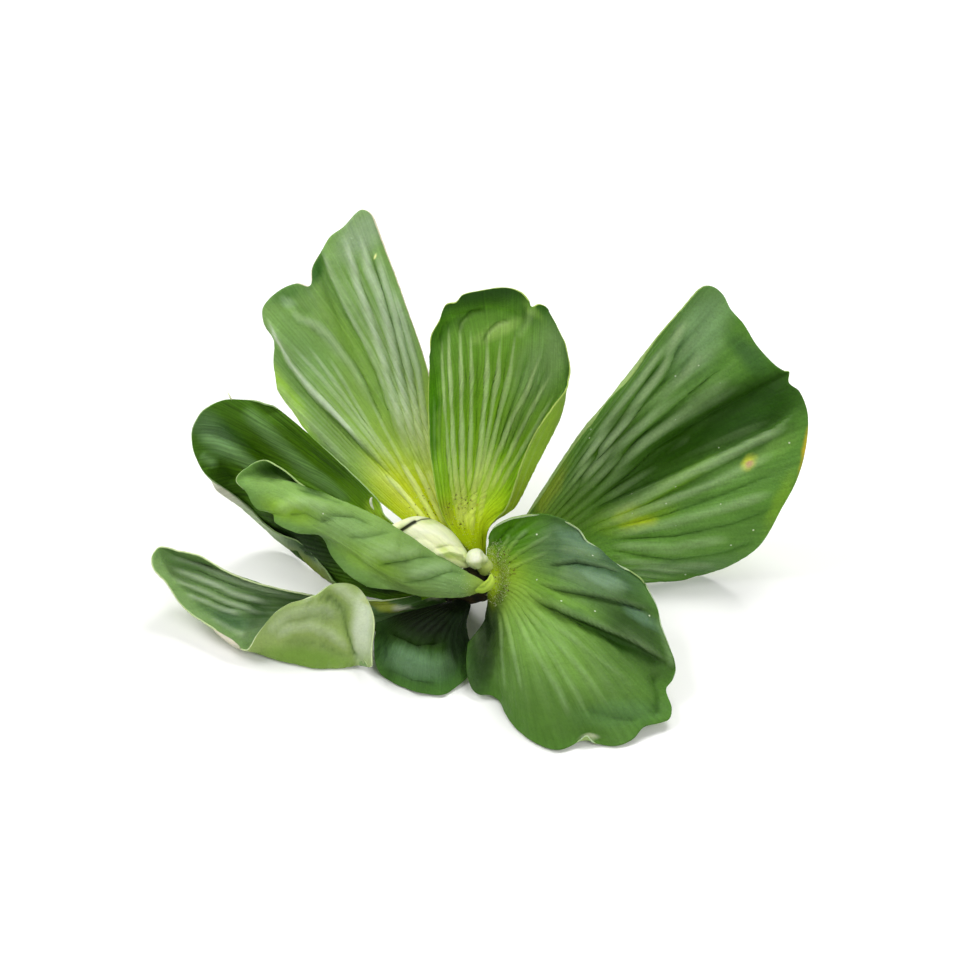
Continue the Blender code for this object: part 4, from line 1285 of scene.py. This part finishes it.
# %% The left leaf's margin, which rolls into a thin white edge where it meets the stem
edge_wax = matt_skin("rolled_margin_wax", "#F2F4E4", "#D6DEBC", 600.0, 0.5)
EDGE_LINE = [(-31.8, 23.4, 31.6), (-32.7, 22.2, 30.8), (-32.6, 20.7, 29.4), (-31.8, 19.0, 27.8)]
EDGE_RADII = [0.3, 0.42, 0.42, 0.3]
rolled_edge = finish_piece("left_leaf_rolled_edge", drawn_out(EDGE_LINE, EDGE_RADII, 20, 40), [edge_wax])
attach(rolled_edge, "root")

# %% The short stem
# Scars of old leaves ring it about 2 mm apart, tilted and broken by noise.
SCAR_HEIGHT = 0.35      # mm
SCAR_WAVE = 1.5         # radians of the wave that makes them, on each mm of height
SCAR_TILT = 1.2         # radians that the wave runs ahead on one side of the stem
BARK_HEIGHT = 0.4       # mm
stem_shape = bmesh.new()
bmesh.ops.create_cone(
    stem_shape, cap_ends=True, cap_tris=False, segments=64, radius1=1.0, radius2=1.0, depth=1.0
)
upright = [e for e in stem_shape.edges if abs(e.verts[0].co.z - e.verts[1].co.z) > 0.5]
bmesh.ops.subdivide_edges(stem_shape, edges=upright, cuts=48, use_grid_fill=True)
for corner in stem_shape.verts:
    height = (corner.co.z + 0.5) * STEM_HEIGHTS[-1]
    middle = smooth(STEM_MIDDLE, STEM_HEIGHTS, height)
    wave = SCAR_WAVE * height + SCAR_TILT * corner.co.x + 0.8 * noise.noise(corner.co * 2)
    bark = noise.noise(Vector((corner.co.x * 5, corner.co.y * 5, height * 0.7)))
    relief = SCAR_HEIGHT * abs(math.sin(wave)) + BARK_HEIGHT * bark
    radius = smooth(STEM_RADIUS, STEM_HEIGHTS, height) + relief
    corner.co = Vector((middle.x + corner.co.x * radius, middle.y + corner.co.y * radius, height))
bark_skin = matt_skin("stem_dark_bark", "#16190A", "#3A3016", 300.0, 0.8)
stem = finish_piece("stem_short", stem_shape, [bark_skin])
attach(stem, "root")
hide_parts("stem")
print("heart made:", young.name, bud.name, side_bud.name, tip_curl.name, stem.name)

# %% [markdown]
# ## Hairs and dry scales at the heart
# The leaf bases are bearded with short white hairs, and bits of dry brown scale cling between
# them. Hair particles would be lost when the model is exported, so each hair or scale is a
# three-sided cone. All hairs are one mesh and all scales another. Each grows from the leaf
# point nearest to a place picked by seeded chance inside an ellipse, evenly spread.


# %% Hairs that stand on a leaf
HAIR_RADIUS = 0.05      # mm at its root, about twice as thick as real so that it shows
SCALE_RADIUS = 0.24     # mm at its root
ROOT_DEPTH = 0.1        # mm that a hair starts under the skin
NEAR_ENOUGH = 0.4       # mm in the picture from the place picked to a leaf point
SCATTER = 0.55          # how far hairs lean away from straight out of the leaf


def plant(shape, beards, radius, chance):
    """Stands fine cones on the leaves, out from the side that faces the camera."""
    for name, middle, spread, count, longest in beards:
        blade = bpy.data.objects[name + "_blade"].data
        finder = kdtree.KDTree(len(blade.vertices))
        for corner in blade.vertices:
            at = shown(corner.co / MM)
            finder.insert((at.x, at.y, 0.0), corner.index)
        finder.balance()
        for _ in range(count):
            turn = chance.uniform(0, math.tau)
            out = math.sqrt(chance.random())
            right = middle[0] + spread[0] * out * math.cos(turn)
            up = middle[1] + spread[1] * out * math.sin(turn)
            _, index, gap = finder.find((right, up, 0.0))
            if gap > NEAR_ENOUGH:
                continue
            root = blade.vertices[index]
            place = root.co / MM
            face_out = root.normal if root.normal.dot(EYE - place) > 0 else -root.normal
            # The skin lies half the flesh's thickness off the sheet that was grown.
            skin = FLESH * root.groups[0].weight / 2 - ROOT_DEPTH
            scatter = Vector((chance.uniform(-1, 1), chance.uniform(-1, 1), chance.uniform(-0.4, 1)))
            lean = (face_out + SCATTER * scatter).normalized()
            length = longest * chance.uniform(0.35, 1.0)
            made = bmesh.ops.create_cone(
                shape, cap_ends=True, cap_tris=True, segments=3, radius1=radius, radius2=0.0, depth=length
            )
            turned = Vector((0.0, 0.0, 1.0)).rotation_difference(lean).to_matrix()
            bmesh.ops.rotate(shape, cent=(0, 0, 0), matrix=turned, verts=made["verts"])
            bmesh.ops.translate(shape, vec=place + face_out * skin + lean * length / 2, verts=made["verts"])


# %% Grow the hairs
# Each: leaf, middle in the picture, half width and half height, how many, longest in mm.
BEARDS = [
    ("leaf_front_right", (5.5, 0), (3.6, 10.5), 640, 1.5),
    ("leaf_back", (-7, 14), (7, 9), 300, 1.2),
    ("leaf_back_left", (-15, 20), (9, 6), 160, 1.1),
    ("leaf_left_inner", (-3, -3), (6, 4), 90, 0.8),
]
chance = random.Random(11)
beard = bmesh.new()
plant(beard, BEARDS, HAIR_RADIUS, chance)

# One stiff white bristle stands on the left leaf's margin.
BRISTLE_PLACE = seen(-75, 53.0, 52)
BRISTLE_LEAN = Matrix.Rotation(math.radians(-20), 3, "Y")
bristle = bmesh.ops.create_cone(
    beard, cap_ends=True, cap_tris=True, segments=6, radius1=0.42, radius2=0.05, depth=3.6
)
bmesh.ops.rotate(beard, cent=(0, 0, 0), matrix=BRISTLE_LEAN, verts=bristle["verts"])
bmesh.ops.translate(beard, vec=BRISTLE_PLACE, verts=bristle["verts"])
white_hair = matt_skin("white_hair", "#EAEECA", "#CED888", 500.0, 0.5)
hairs = finish_piece("heart_hairs", beard, [white_hair])
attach(hairs, "root")

# %% Scatter the dry scales
SCALES = [
    ("leaf_back", (-6, 19), (5.5, 5.5), 46, 0.9),
    ("leaf_back_left", (-15, 20), (6, 5), 34, 0.9),
    ("leaf_front_right", (7.5, -1), (3.6, 8), 46, 0.9),
]
litter = bmesh.new()
plant(litter, SCALES, SCALE_RADIUS, chance)
dry_scale = matt_skin("dry_brown_scale", "#745220", "#46320E", 900.0, 0.7)
scales = finish_piece("dry_scales", litter, [dry_scale])
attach(scales, "root")
print("faces of all hairs:", len(hairs.data.polygons), "and of all scales:", len(scales.data.polygons))
